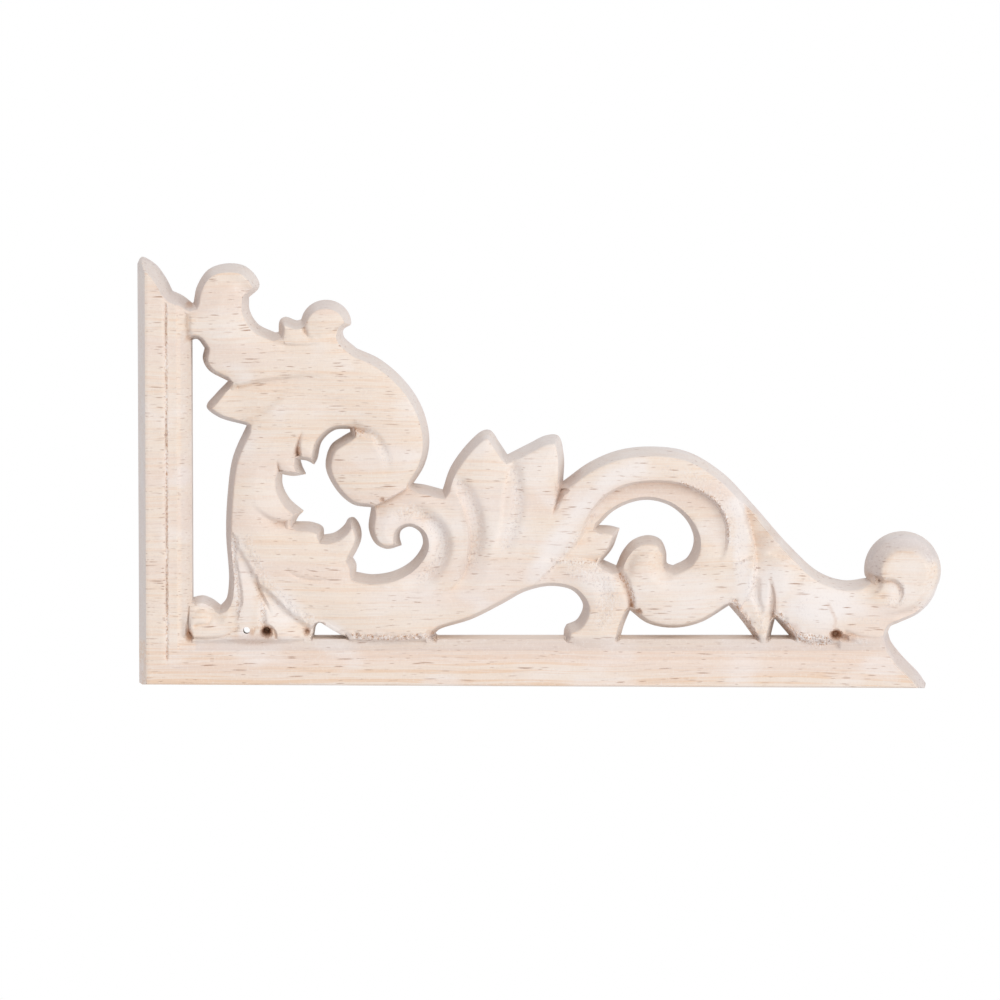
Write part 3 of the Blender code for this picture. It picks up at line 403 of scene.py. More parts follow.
# Rough places, where the cutter tore the grain: a line, its half width, and how rough
tornPlaces = (
    (((43.4, 29.6), (45.4, 30.1), (47.6, 28.9), (49.6, 26.6), (50.1, 24.2), (49.5, 22.0),
      (47.0, 19.2)), 2.0, 0.76),
    (((53.2, 34.6), (54.6, 32.4), (55.6, 29.4), (55.9, 26.4), (55.0, 21.4)), 1.7, 0.74),
    (((62.0, 36.6), (62.6, 33.4), (62.4, 30.2), (61.6, 27.0), (60.6, 24.4)), 1.5, 0.7),
    (((38.2, 43.2), (40.2, 41.0), (41.1, 38.4)), 1.6, 0.6),
    (((15.9, 25.6), (15.9, 21.0), (16.4, 17.0), (16.6, 13.6)), 1.2, 0.9),
    (((20.6, 15.0), (20.6, 11.4)), 1.2, 0.9),
    (((72.6, 20.4), (75.6, 19.6), (77.4, 17.0), (76.6, 12.4)), 3.0, 0.8),
    (((79.6, 19.4), (81.3, 16.6), (81.4, 13.8)), 1.2, 1.0),
    (((90.6, 36.4), (94.2, 34.6), (97.4, 31.4), (98.9, 26.0), (98.9, 20.0)), 2.0, 0.55),
    (((89.4, 34.9), (93.4, 33.2), (95.9, 31.0), (97.2, 28.0), (97.3, 25.2)), 0.9, 1.0),
    (((86.0, 37.0), (90.0, 36.4)), 1.6, 0.4),
    (((101.3, 20.4), (101.2, 17.0), (102.4, 13.6), (103.2, 9.6)), 1.6, 0.72),
    (((109.6, 16.6), (109.4, 12.4)), 1.6, 0.4),
    (((123.4, 18.6), (125.6, 17.6), (125.6, 15.4), (123.4, 15.0)), 1.2, 0.8),
    (((33.0, 31.6), (36.0, 30.7), (38.6, 30.8)), 1.0, 0.8),
    (((26.4, 38.4), (26.6, 41.4)), 0.8, 0.9),
    (((69.2, 22.0), (73.2, 27.0), (75.6, 29.6)), 0.7, 0.8),
    (((4.9, 6.0), (4.9, 64.0)), 0.6, 0.95),
    (((10.9, 56.6), (10.8, 54.9), (11.8, 53.0), (14.6, 51.5)), 1.0, 0.95),
    (((69.0, 21.9), (76.0, 21.4)), 0.8, 0.9),
    (((36.0, 20.4), (37.2, 21.6)), 1.2, 0.5),
    (((34.5, 43.1), (37.4, 43.1)), 0.9, 0.95),
    (((130.0, 22.4), (131.4, 21.6)), 1.2, 0.6),
    (((118.6, 12.4), (121.8, 12.0)), 1.0, 0.4),
    (((18.2, 25.4), (19.4, 22.2), (20.8, 19.3), (23.0, 16.8), (26.0, 13.9), (28.9, 12.1)),
     1.6, 0.74),
    (((97.4, 14.8), (99.6, 12.2), (101.6, 9.4)), 1.3, 1.0),
    (((105.2, 13.0), (107.4, 10.6), (110.4, 8.8), (113.0, 8.4)), 1.5, 1.0),
)

# Ragged places, cut across the grain: a line, its half width, and the height of the rags
ragged = (
    (((98.2, 15.2), (100.0, 12.6), (101.7, 9.8)), 0.9, 0.7),
    (((105.4, 13.0), (107.0, 10.8), (109.4, 9.4), (113.6, 8.8)), 1.1, 0.9),
    (((116.8, 9.4), (118.4, 8.8), (120.2, 8.6)), 0.7, 0.35),
    (((34.8, 9.6), (41.6, 9.3), (48.6, 9.6)), 0.8, 0.75),
    (((89.4, 34.6), (93.4, 32.9), (95.9, 30.7), (97.1, 27.6)), 0.4, 0.3),
    (((80.2, 18.4), (81.2, 15.6)), 0.8, 0.4),
    (((17.6, 24.4), (18.8, 21.8), (20.2, 19.1), (22.5, 16.7), (25.7, 13.8), (28.4, 12.0)),
     1.1, 0.3),
    (((70.4, 34.6), (69.2, 31.4)), 0.8, 0.3),
    (((22.9, 59.4), (23.8, 58.4)), 0.6, 0.4),
    (((35.0, 43.6), (37.0, 43.4)), 0.7, 0.5),
    (((26.5, 39.0), (28.6, 38.2)), 0.5, 0.4),
    (((23.4, 36.9), (26.6, 36.2)), 0.45, 0.3),
)

# Brown places, scorched or stained by the cutter, with painted shade that darkens the deep pits:
# centre, half width, half height, how dark
stainsAndPitShade = (
    ((18.8, 10.2), 0.7, 0.8, 0.62),
    ((21.3, 10.2), 1.4, 1.3, 0.75),
    ((19.4, 9.0), 4.6, 1.3, 0.3),
    ((115.1, 9.7), 1.4, 1.1, 0.85),
    ((117.0, 9.2), 1.6, 0.9, 0.4),
    ((8.5, 9.6), 0.8, 1.3, 0.8),
    ((82.4, 13.5), 0.9, 0.6, 0.6),
    ((27.8, 10.1), 0.8, 0.8, 0.45),
    ((107.4, 10.4), 2.2, 1.7, 0.4),
    ((101.0, 29.0), 1.6, 2.0, 0.15),
    ((103.6, 25.4), 2.6, 2.2, 0.18),
    ((106.6, 22.9), 2.2, 1.3, 0.1),
    ((41.6, 9.5), 8.0, 0.9, 0.2),
    ((48.2, 10.0), 1.0, 0.7, 0.5),
    ((121.6, 18.8), 1.8, 0.8, 0.3),
    ((40.3, 32.1), 0.6, 0.5, 0.45),
    ((35.9, 43.5), 1.6, 0.7, 0.6),
    ((26.5, 40.0), 0.7, 1.1, 0.6),
    ((81.3, 14.5), 0.6, 0.9, 0.7),
    ((24.0, 28.0), 1.8, 0.7, 0.25),
    ((69.6, 33.2), 1.2, 2.2, 0.28),
    ((8.6, 64.0), 0.7, 0.6, 0.55),
    ((8.6, 58.7), 0.7, 0.6, 0.5),
)

# Browner stretches, cutter marks with painted shade in channels and creases: a line, its half
# width, and how dark
stainedAndShadedLines = (
    (((73.5, 27.5), (77.5, 32.0), (83.0, 33.9), (89.0, 33.4), (93.8, 30.8), (95.4, 26.6)),
     2.2, 0.10),
    (((82.0, 34.6), (87.0, 34.7), (91.0, 33.6)), 0.7, 0.16),
    (((120.4, 19.4), (122.4, 18.6), (124.6, 18.4), (125.6, 17.2)), 0.6, 0.3),
    (((79.6, 19.4), (80.6, 17.4), (81.2, 15.0)), 0.6, 0.35),
    (((122.9, 19.8), (123.1, 21.4), (124.1, 22.8), (125.6, 23.4), (127.4, 23.2)), 0.5, 0.16),
    (((8.5, 63.6), (8.35, 61.6), (8.5, 59.2)), 0.3, 0.3),
    (((11.0, 56.6), (10.8, 54.9), (11.8, 53.0), (14.6, 51.4)), 1.0, 0.16),
    (((70.5, 34.6), (72.4, 36.3)), 0.9, 0.2),
    (((79.4, 21.4), (80.0, 23.0)), 0.9, 0.22),
    (((53.6, 30.4), (54.2, 26.6), (54.2, 23.4), (53.2, 20.0)), 0.7, 0.12),
    (((98.2, 15.0), (100.0, 12.6), (101.7, 9.6)), 0.8, 0.25),
    (((113.7, 14.8), (114.4, 13.5), (114.9, 12.2), (114.7, 11.0)), 0.4, 0.28),
    (((104.2, 19.0), (105.1, 15.6), (105.1, 12.8)), 0.4, 0.25),
)

# Painted shade on the end curl's shoulder and on two walls: a line, its half width, and how strong
paintedShadeLines = (
    (((121.4, 19.6), (121.5, 21.6), (122.6, 23.4), (124.4, 24.5), (126.4, 24.7), (128.6, 24.2),
      (130.6, 22.6)), 1.5, 0.5),
    (((70.4, 34.8), (72.6, 36.4)), 0.9, 0.4),
    (((12.4, 45.9), (15.0, 44.8), (17.6, 44.1)), 0.8, 0.5),
)

# Whiter stretches: a line, its half width, and how white
whiteLines = (
    (((65.4, 19.6), (69.6, 25.6), (73.4, 30.8), (78.0, 35.6), (82.6, 37.4)), 2.6, 0.9),
    (((51.6, 35.8), (53.4, 33.4), (54.8, 29.6), (55.0, 25.4)), 1.6, 0.6),
    (((98.6, 31.4), (99.6, 26.4), (99.6, 20.4)), 1.8, 0.8),
    (((80.0, 39.4), (85.4, 39.9), (91.0, 38.9), (96.4, 35.6)), 1.0, 0.5),
)

# Places with whiter wood, and round the bore painted light against its shade: centre, half width,
# half height, how white
whiterWoodAndLitPlaces = (
    ((104.0, 17.6), 6.0, 5.0, 1.0),
    ((12.0, 15.0), 3.0, 1.5, 1.0),
    ((107.6, 10.6), 2.6, 2.4, 0.8),
    ((99.8, 12.2), 2.0, 3.0, 0.6),
    ((31.0, 10.4), 3.6, 1.8, 0.9),
    ((126.8, 25.4), 5.0, 1.6, 0.5),
    ((112.0, 15.0), 9.5, 4.4, 1.0),
    ((58.0, 27.0), 8.0, 14.0, 0.4),
    ((88.0, 16.0), 9.0, 5.0, 0.7),
    ((127.0, 18.6), 4.6, 5.0, 0.6),
    ((17.7, 9.9), 1.4, 1.4, 1.0),
    ((17.6, 17.0), 2.4, 7.0, 0.7),
    ((23.4, 13.4), 5.0, 3.0, 0.6),
    ((44.0, 15.0), 9.0, 4.0, 0.4),
    ((99.4, 24.0), 1.6, 9.0, 0.8),
    ((90.0, 17.6), 6.0, 3.0, 0.7),
    ((14.0, 60.8), 5.0, 3.6, 0.5),
    ((74.0, 31.6), 3.6, 4.0, 0.6),
    ((81.0, 36.6), 6.0, 1.8, 0.5),
    ((49.4, 25.4), 2.4, 6.0, 0.6),
    ((46.4, 17.6), 4.0, 2.6, 0.6),
    ((16.6, 22.0), 1.8, 5.0, 0.6),
    ((55.4, 30.6), 1.8, 5.0, 0.6),
    ((62.4, 31.6), 1.6, 5.0, 0.5),
    ((130.4, 15.6), 2.4, 4.0, 0.8),
    ((125.0, 16.6), 2.2, 2.4, 0.6),
    ((75.6, 18.0), 3.4, 3.4, 0.5),
    ((17.0, 60.6), 4.6, 4.0, 0.4),
    ((21.0, 33.0), 4.0, 5.0, 0.3),
)


def nearest(points, line):
    # distance, side (+1 left) and place along an open line, 0 to 1, for each point
    a = line[:-1]
    ab = line[1:] - a
    length = np.linalg.norm(ab, axis=1)
    before = np.concatenate(([0.0], np.cumsum(length)[:-1]))
    out = np.empty((3, len(points)))
    for first in range(0, len(points), 2000):
        part = points[first:first + 2000]
        ap = part[:, None, :] - a[None]
        t = np.clip((ap * ab).sum(2) / (length ** 2), 0, 1)
        gap = ap - t[..., None] * ab
        distance = np.sqrt((gap ** 2).sum(2))
        i = distance.argmin(axis=1)
        row = np.arange(len(part))
        cross = ab[i, 0] * ap[row, i, 1] - ab[i, 1] * ap[row, i, 0]
        out[0, first:first + 2000] = distance[row, i]
        out[1, first:first + 2000] = np.where(cross >= 0, 1.0, -1.0)
        out[2, first:first + 2000] = (before[i] + t[row, i] * length[i]) / length.sum()
    return out


def around(points, line, reach):
    # the points that a line can affect
    low = line.min(axis=0) - reach
    high = line.max(axis=0) + reach
    return np.flatnonzero(((points > low) & (points < high)).all(axis=1))


def edgeTree(loops):
    # close samples of the outlines, to measure distances from
    samples = []
    for ring in loops:
        closed = np.vstack((ring, ring[:1]))
        for a, b in zip(closed[:-1], closed[1:]):
            count = max(1, math.ceil(np.linalg.norm(b - a) / board["edgeSample"]))
            samples.append(a + (b - a) * (np.arange(count) / count)[:, None])
    samples = np.vstack(samples)
    tree = KDTree(len(samples))
    for i, (x, z) in enumerate(samples.tolist()):
        tree.insert((x, z, 0.0), i)
    tree.balance()
    return tree


def edgeDistance(points, tree):
    find = tree.find
    return np.array([find((x, z, 0.0))[2] for x, z in points.tolist()])


def inside(points, loops):
    crossings = np.zeros(len(points), int)
    x, z = points[:, 0], points[:, 1]
    order = np.argsort(z)
    sortedZ = z[order]
    for ring in loops:
        for (x1, z1), (x2, z2) in zip(ring, np.roll(ring, -1, axis=0)):
            if z1 != z2:
                first, last = np.searchsorted(sortedZ, (min(z1, z2), max(z1, z2)), side="left")
                near = order[first:last]
                crossings[near] += x[near] < (x2 - x1) * (z[near] - z1) / (z2 - z1) + x1
    return crossings % 2 == 1


def along(place, values):
    return np.interp(place, np.linspace(0, 1, len(values)), values)


# How steeply a pit, a lined place and an oval place rise from their edge to full strength
rises = {"pit": 1.6, "line": 1.4, "oval": 1.3}


def cutDepth(points):
    letDown = np.zeros(len(points))
    for knots, side, drops, reach, lip in cuts:
        line = curve(*knots, step=board["lineStep"])
        near = around(points, line, reach + lip)
        distance, sign, place = nearest(points[near], line)
        past = distance * (sign == side)
        step = np.clip(past / lip, 0, 1)
        step = step * step * (3 - 2 * step)
        ground = np.clip(1 - (past - lip) / reach, 0, 1) ** board["runOut"]
        shape = np.where(past < lip, step, ground)
        letDown[near] = np.maximum(letDown[near], shape * along(place, drops))
    for knots, widths, depths in grooves:
        line = curve(*knots, step=board["lineStep"])
        near = around(points, line, max(widths))
        distance, sign, place = nearest(points[near], line)
        letDown[near] += along(place, depths) * np.clip(1 - distance / along(place, widths), 0, 1)
    for knots, width, depths in hollows:
        line = curve(*knots, step=board["lineStep"])
        near = around(points, line, width)
        distance, sign, place = nearest(points[near], line)
        dish = np.cos(np.clip(distance / width, 0, 1) * math.pi / 2) ** 2
        letDown[near] += along(place, depths) * dish
    for centre, halfX, halfZ, depth in pits:
        gap = np.hypot((points[:, 0] - centre[0]) / halfX, (points[:, 1] - centre[1]) / halfZ)
        letDown += depth * np.clip(rises["pit"] * (1 - gap), 0, 1)
    return letDown


def lattice(points, pitchX, pitchZ, seed):
    # smooth random heights, 0 to 1, on a lattice of the given pitch
    u = points[:, 0] / pitchX + 17.3 * seed
    v = points[:, 1] / pitchZ + 5.1 * seed
    i, j = np.floor(u), np.floor(v)
    f, g = u - i, v - j
    f, g = f * f * (3 - 2 * f), g * g * (3 - 2 * g)

    def corner(di, dj):
        n = np.sin((i + di) * 127.1 + (j + dj) * 311.7 + seed * 74.7) * 43758.5453
        return n - np.floor(n)

    low = corner(0, 0) * (1 - f) + corner(1, 0) * f
    high = corner(0, 1) * (1 - f) + corner(1, 1) * f
    return low * (1 - g) + high * g


def spread(points, places):
    # how far each point lies within lined places, 0 to their strength
    amount = np.zeros(len(points))
    for knots, width, strength in places:
        line = curve(*knots, step=board["markStep"])
        near = around(points, line, width)
        gap = nearest(points[near], line)[0] / width
        share = np.clip(rises["line"] * (1 - gap), 0, 1)
        amount[near] = np.maximum(amount[near], strength * share)
    return amount


def patch(points, places):
    # the same for oval places
    amount = np.zeros(len(points))
    for centre, halfX, halfZ, strength in places:
        gap = np.hypot((points[:, 0] - centre[0]) / halfX, (points[:, 1] - centre[1]) / halfZ)
        share = np.clip(rises["oval"] * (1 - gap * gap), 0, 1)
        amount = np.maximum(amount, strength * share)
    return amount


# Painted shade on the rails, in their coves and on the walls at their ends: how strong, and where
# it lies
paintedRailShade = {
    "footCove": 0.27,           # the long rail's cove
    "sideCove": 0.2,            # the short rail's
    "footEnd": 0.42,            # the walls at their ends
    "sideEnd": 0.14,
    "footCoveZ": (6.95, 9.6),
    "sideCoveX": (7.1, 9.2),
    "leftEnd": 9.5,             # the long rail's cove starts right of this
    "slotTop": 60.0,            # the short rail's ends below this
    "endFoot": 64.0,            # and its end wall starts above this
    "fadeIn": 0.25,
    "fadeOut": 0.4,
    "wallFade": 0.15,
}


def railShade(points):
    x, z = points[:, 0], points[:, 1]
    grey = paintedRailShade
    low, high = grey["footCoveZ"]
    left, right = grey["sideCoveX"]
    foot = np.clip((z - low) / grey["fadeIn"], 0, 1) * np.clip((high - z) / grey["fadeOut"], 0, 1)
    foot = foot * grey["footCove"] * (x > grey["leftEnd"])
    side = np.clip((x - left) / grey["fadeIn"], 0, 1) * (x < right)
    side = side * grey["sideCove"] * (z > high) * (z < grey["slotTop"])
    atEnd = np.clip((rails["endDraft"] - endDistance(points)) / grey["wallFade"], 0, 1)
    atEnd = atEnd * (grey["footEnd"] * (z < high) + grey["sideEnd"] * (z > grey["endFoot"]))
    return np.maximum(np.maximum(foot, atEnd), side)


def softMin(a, b, softness):
    # the lower of two heights, with a rounded corner between them
    low = np.minimum(a, b)
    return low - softness * np.log(np.exp((low - a) / softness) + np.exp((low - b) / softness))


def ragHeights(points):
    # the broken fibres of the ragged places, up and down
    coarse, fine = board["ragPitches"]
    height = lattice(points, *coarse, 3) + lattice(points, *fine, 4) - 1.0
    return spread(points, ragged) * height


def carvingThickness(points, depthIn):
    sawn, top = board["sawnEdge"], board["wallTop"]
    draft = board["wallDraft"] * (1 - patch(points, steepPlaces))
    wall = sawn + (top - sawn) * depthIn / draft
    past = np.clip(depthIn - board["wallDraft"], 0, None)
    face = top + board["crown"] * (1 - np.exp(-past / board["crownRun"]))
    low = board["domeFoot"]
    for centre, radius, roll, roundness in rounds:
        gap = np.hypot(points[:, 0] - centre[0], points[:, 1] - centre[1])
        share = np.clip((radius - gap) / board["domeFade"], 0, 1)
        rise = np.clip((depthIn - board["domeStart"]) / roll, 0, 1)
        dome = low + (top + board["crown"] - low) * (1 - (1 - rise) ** roundness)
        face = face + (dome - face) * share
    rags = ragHeights(points)
    face = np.maximum(face - cutDepth(points) + rags, board["lowestCut"])
    body = softMin(wall + board["wallRags"] * rags, face, board["arris"])
    return np.clip(body, sawn, top + board["crown"])


def endDistance(points):
    ends = [nearest(points, curve(*knots))[0] for knots in (*sideRailEnd, footRailEnd)]
    return np.min(ends, axis=0)


def railThickness(points):
    x, z = points[:, 0], points[:, 1]
    sawn = board["sawnEdge"]
    outer = np.minimum(x, (z - footLine(x)) * rails["footSteepness"])
    inner = np.minimum(x, z - board["foot"])
    edge = np.interp(outer, *np.transpose(rails["edge"]))
    moulding = np.interp(inner, *np.transpose(rails["moulding"]))
    low, high = rails["grooveEnds"]
    depth, deeper = rails["grooveDepths"]
    onSide = (x < z - board["foot"]) & (z > low)
    groove = np.clip(1 - np.abs(x - rails["grooveX"]) / rails["grooveHalf"], 0, 1)
    groove = groove * (depth + deeper * lattice(points, *rails["groovePitch"], 6) ** 2)
    groove = np.where(onSide & (z < high), groove, 0)
    faint = np.clip(1 - np.abs(z - rails["faintZ"]) / rails["faintHalf"], 0, 1)
    faint = faint * rails["faintDepth"] * lattice(points, *rails["faintPitch"], 7)
    faint = np.where(onSide, 0, faint)
    rise = np.clip(endDistance(points) / rails["endDraft"], 0, 1)
    endWall = sawn + (rails["top"] - sawn) * rise
    rail = np.minimum(np.minimum(edge, moulding), endWall)
    return np.maximum(rail - groove - faint, sawn)


def sunkOnRail(across, place, inner, stretches):
    # how far the carving is let down on a rail, by the way across it and the place along it
    letDown = np.full(len(across), np.inf)  # all of it, where there is no stretch
    for low, high, slope in stretches:
        pastEnd = np.maximum(0, np.maximum(low - place, place - high))
        sunk = slope * (inner - across) + rails["stretchEnd"] * pastEnd
        letDown = np.where(across < inner, np.minimum(letDown, sunk), letDown)
    return letDown


def thicknessAt(points, tree):
    # on a rail the moulding shows wherever it stands above the sunk carving
    depthIn = edgeDistance(points, tree)
    x, z = points[:, 0], points[:, 1]
    rail = railThickness(points)
    carving = carvingThickness(points, depthIn)
    innerX = rails["innerX"] + rails["gapRim"]
    innerZ = rails["innerZ"] + rails["gapRim"]
    onFoot = sunkOnRail(z, x, innerZ, footStretches)
    onSide = sunkOnRail(x, z, innerX, sideStretches)
    onRail = (x < innerX) | (z < innerZ)
    return np.where(onRail, np.maximum(rail, carving - np.minimum(onFoot, onSide)), carving)


def splitRuns(points, good):
    # the unbroken stretches of good points
    runs = []
    run = []
    for p, keep in zip(points, good):
        if keep:
            run.append(p)
        elif run:
            runs.append(np.array(run))
            run = []
    if run:
        runs.append(np.array(run))
    return [run for run in runs if len(run) > 1]


def insetRuns(ring, loops, tree, distance):
    # the ring moved into the wood by the distance, without the stretches that come too near
    ahead = np.roll(ring, -1, axis=0) - ring
    behind = ring - np.roll(ring, 1, axis=0)
    ahead = ahead / np.linalg.norm(ahead, axis=1)[:, None]
    way = ahead + behind / np.linalg.norm(behind, axis=1)[:, None]
    normal = np.column_stack((-way[:, 1], way[:, 0]))
    normal /= np.maximum(np.linalg.norm(normal, axis=1), 1e-6)[:, None]
    inward = np.where(inside(ring + normal * board["probe"], loops), 1, -1)
    moved = ring + normal * (distance * inward)[:, None]
    farEnough = edgeDistance(moved, tree) > board["insetShare"] * distance
    good = inside(moved, loops) & farEnough
    return splitRuns(np.vstack((moved, moved[:1])), np.append(good, good[0]))


creases = {
    "sharpLip": 0.7,            # the step of a cut narrower than this has rows of its own
    "clearance": 0.8,           # its rows keep this share of the walls' lean from the edge
    "groove": (4.52, 4.67, 4.82, 4.97, 5.12),  # rows of points along the fine groove
    "grooveEnds": (64.6, 5.3),
    "moulding": (6.5, 6.75, 7.5, 8.3),  # and along the mouldings of both rails
    "mouldingEnds": (62.5, 123.0),
}


def creaseRuns(loops, tree):
    foot = board["foot"]
    clearance = creases["clearance"] * board["wallDraft"]
    offsets = [(knots, (0.0, side * lip)) for knots, side, drops, reach, lip in cuts
               if lip < creases["sharpLip"]]
    offsets += [(knots, (-min(widths), 0.0, min(widths))) for knots, widths, depths in grooves]
    runs = []
    for knots, sides in offsets:
        line = curve(*knots)
        ahead = np.gradient(line, axis=0)
        left = np.column_stack((-ahead[:, 1], ahead[:, 0]))
        left = left / np.linalg.norm(ahead, axis=1)[:, None]
        for side in sides:
            moved = line + left * side
            good = inside(moved, loops) & (edgeDistance(moved, tree) > clearance)
            runs += splitRuns(moved, good)
    for knots in (*sideRailEnd, footRailEnd):
        runs += insetRuns(curve(*knots), loops, tree, rails["endDraft"])
    high, low = creases["grooveEnds"]
    for place in creases["groove"]:
        runs.append(curve((place, high), (place, low)))
    top, right = creases["mouldingEnds"]
    for place in creases["moulding"]:
        runs.append(curve((place, top), (place, place + foot)))
        runs.append(curve((place, place + foot), (right, place + foot)))
    return runs


def facePoints(loops, tree, lines):
    # a triangular grid over the face, clear of the edge and of the lines
    step = board["faceStep"]
    low, high = loops[0].min(axis=0), loops[0].max(axis=0)
    rows = np.arange(low[1], high[1], step * board["rowPitch"])
    columns = np.arange(low[0], high[0], step)
    grid = [np.column_stack((columns + (i % 2) * step / 2, np.full(len(columns), z)))
            for i, z in enumerate(rows)]
    grid = np.vstack(grid)
    grid = grid[inside(grid, loops)]
    grid = grid[edgeDistance(grid, tree) > board["insets"][-1] + board["edgeGap"] * step]
    lineTree = KDTree(sum(len(line) for line in lines))
    for line in lines:
        for x, z in line.tolist():
            lineTree.insert((x, z, 0.0), 0)
    lineTree.balance()
    return grid[edgeDistance(grid, lineTree) > board["lineGap"] * step]


def triangles(coords, edges, loops):
    # the wood between the loops in triangles that keep the edges
    found = delaunay_2d_cdt([tuple(map(float, p)) for p in coords], edges, [], 0, 0.01)
    points = np.array([tuple(p) for p in found[0]])
    faces = np.array([face for face in found[2] if len(face) == 3])
    faces = faces[inside(points[faces].mean(axis=1), loops)]
    a, b, c = (points[faces[:, i]] for i in range(3))
    area = (b[:, 0] - a[:, 0]) * (c[:, 1] - a[:, 1]) - (b[:, 1] - a[:, 1]) * (c[:, 0] - a[:, 0])
    faces[area < 0] = faces[area < 0][:, ::-1]
    used = np.unique(faces)
    renumber = np.full(len(points), -1)
    renumber[used] = np.arange(len(used))
    return points[used], renumber[faces]


def frontSurface(loops, tree):
    lines = []
    for distance in board["insets"]:
        for ring in loops:
            lines += insetRuns(ring, loops, tree, distance)
    lines += creaseRuns(loops, tree)
    coords = [tuple(p) for ring in loops for p in ring]
    edges = []
    start = 0
    for ring in loops:
        edges += [(start + i, start + (i + 1) % len(ring)) for i in range(len(ring))]
        start += len(ring)
    for line in lines:
        edges += [(len(coords) + i, len(coords) + i + 1) for i in range(len(line) - 1)]
        coords += [tuple(p) for p in line]
    coords += [tuple(p) for p in facePoints(loops, tree, lines)]
    return triangles(coords, edges, loops)


def closedShell(points, faces, loops):
    # the front's faces, a wall down from each edge of its rim, and the flat back
    directed = {(int(f[i]), int(f[(i + 1) % 3])) for f in faces for i in range(3)}
    rim = sorted(edge for edge in directed if (edge[1], edge[0]) not in directed)
    order = sorted({v for edge in rim for v in edge})
    place = {v: i for i, v in enumerate(order)}
    backOf = {v: len(points) + i for i, v in enumerate(order)}
    backRim = [(place[a], place[b]) for a, b in rim]
    backPoints, backFaces = triangles(points[order], backRim, loops)
    gaps = [((points[order] - p) ** 2).sum(axis=1) for p in backPoints]
    match = [order[int(np.argmin(gap))] for gap in gaps]
    shell = [tuple(map(int, face)) for face in faces]
    shell += [(b, a, backOf[a], backOf[b]) for a, b in rim]
    shell += [tuple(backOf[match[v]] for v in face[::-1]) for face in backFaces]
    return shell, order


def woodMarksAndPaintedShade(points, frontCount):
    # how torn and stained the wood is, the stain also painting shade in deep pits; grey is painted
    # shade; white is whiter wood, with painted light round the bore; on the back it is only
    # whitened
    marks = {
        "torn": np.maximum(spread(points, tornPlaces), spread(points, ragged) * 2),
        "stainAndShade": np.maximum(patch(points, stainsAndPitShade), spread(points, stainedAndShadedLines)),
        # grey is painted shade: the end curl's shoulder, two walls, the rails' coves and the walls
        # at their ends
        "grey": spread(points, paintedShadeLines) + railShade(points),
    }
    for values in marks.values():
        values[frontCount:] = 0
    marks["white"] = np.maximum(patch(points, whiterWoodAndLitPlaces), spread(points, whiteLines))
    return marks


def carvedBoard():
    loops = [boardOutline(), sideSlot(), leafWindow(), scrollWindow(), *footGaps(), pinHole()]
    tree = edgeTree(loops[:-1])  # the bore has its own mouth
    points, faces = frontSurface(loops, tree)
    print("drawn:", len(points), "points,", len(faces), "faces on the front")
    thickness = thicknessAt(points, tree)
    originX, originZ = board["origin"]
    front = np.column_stack((points[:, 0] - originX, -thickness, points[:, 1] - originZ)) * mm
    shell, order = closedShell(points, faces, loops)
    rim = points[order]
    back = front[order] * (1, 0, 1)
    fromBore = np.hypot(rim[:, 0] - pin["x"], rim[:, 1] - pin["z"])
    bored = fromBore < pin["radius"] + board["boreMargin"]
    back[bored] -= np.array((pin["aside"], 0.0, pin["lean"])) * mm
    mesh = bpy.data.meshes.new("carvedOnlay")
    mesh.from_pydata(np.vstack((front, back)).tolist(), [], shell)
    mesh.validate()
    for name, values in woodMarksAndPaintedShade(np.vstack((points, rim)), len(points)).items():
        attribute = mesh.attributes.new(name, "FLOAT", "POINT")
        attribute.data.foreach_set("value", values.astype(np.float32))
    onlay = bpy.data.objects.new("carvedOnlay", mesh)
    bpy.context.collection.objects.link(onlay)
    return onlay


class Wire:  # a shader socket that Python can do sums with
    def __init__(self, tree, socket=None):
        self.tree = tree
        self.socket = socket

    def node(self, kind, settings=None, links=None, output=0):
        made = self.tree.nodes.new("ShaderNode" + kind)
        for name, value in (settings or {}).items():
            setattr(made, name, value)
        for name, value in (links or {}).items():
            if isinstance(value, Wire):
                self.tree.links.new(value.socket, made.inputs[name])
            else:
                made.inputs[name].default_value = value
        return Wire(self.tree, made.outputs[output]) if len(made.outputs) else made

    def math(self, operation, first, second=0.0):
        return self.node("Math", {"operation": operation}, {0: first, 1: second})

    def __add__(self, other):
        return self.math("ADD", self, other)

    def __sub__(self, other):
        return self.math("SUBTRACT", self, other)

    def __rsub__(self, other):
        return self.math("SUBTRACT", other, self)

    def __mul__(self, other):
        return self.math("MULTIPLY", self, other)

    __radd__ = __add__
    __rmul__ = __mul__

    def between(self, low, high, start=0.0, end=1.0):
        ends = {"From Min": low, "From Max": high, "To Min": start, "To Max": end}
        return self.node("MapRange", {"interpolation_type": "SMOOTHSTEP"}, {"Value": self, **ends})

    def axis(self, index):
        return self.node("SeparateXYZ", {}, {0: self}, index)

    def swayed(self, sway, amount):
        settings = {"operation": "MULTIPLY_ADD"}
        return self.node("VectorMath", settings, {0: sway, 1: (0, amount, amount), 2: self})

    def stretched(self, x, y, z):
        return self.node("VectorMath", {"operation": "MULTIPLY"}, {0: self, 1: (x, y, z)})

    def noise(self, detail=2.0, roughness=0.5, scale=1.0, output="Fac"):
        return self.node("TexNoise", {}, {"Vector": self, "Scale": scale, "Detail": detail,
                                          "Roughness": roughness}, output)

    def tint(self, colour, amount):
        return self.node("Mix", {"data_type": "RGBA"}, {0: amount, 6: self, 7: colour}, 2)


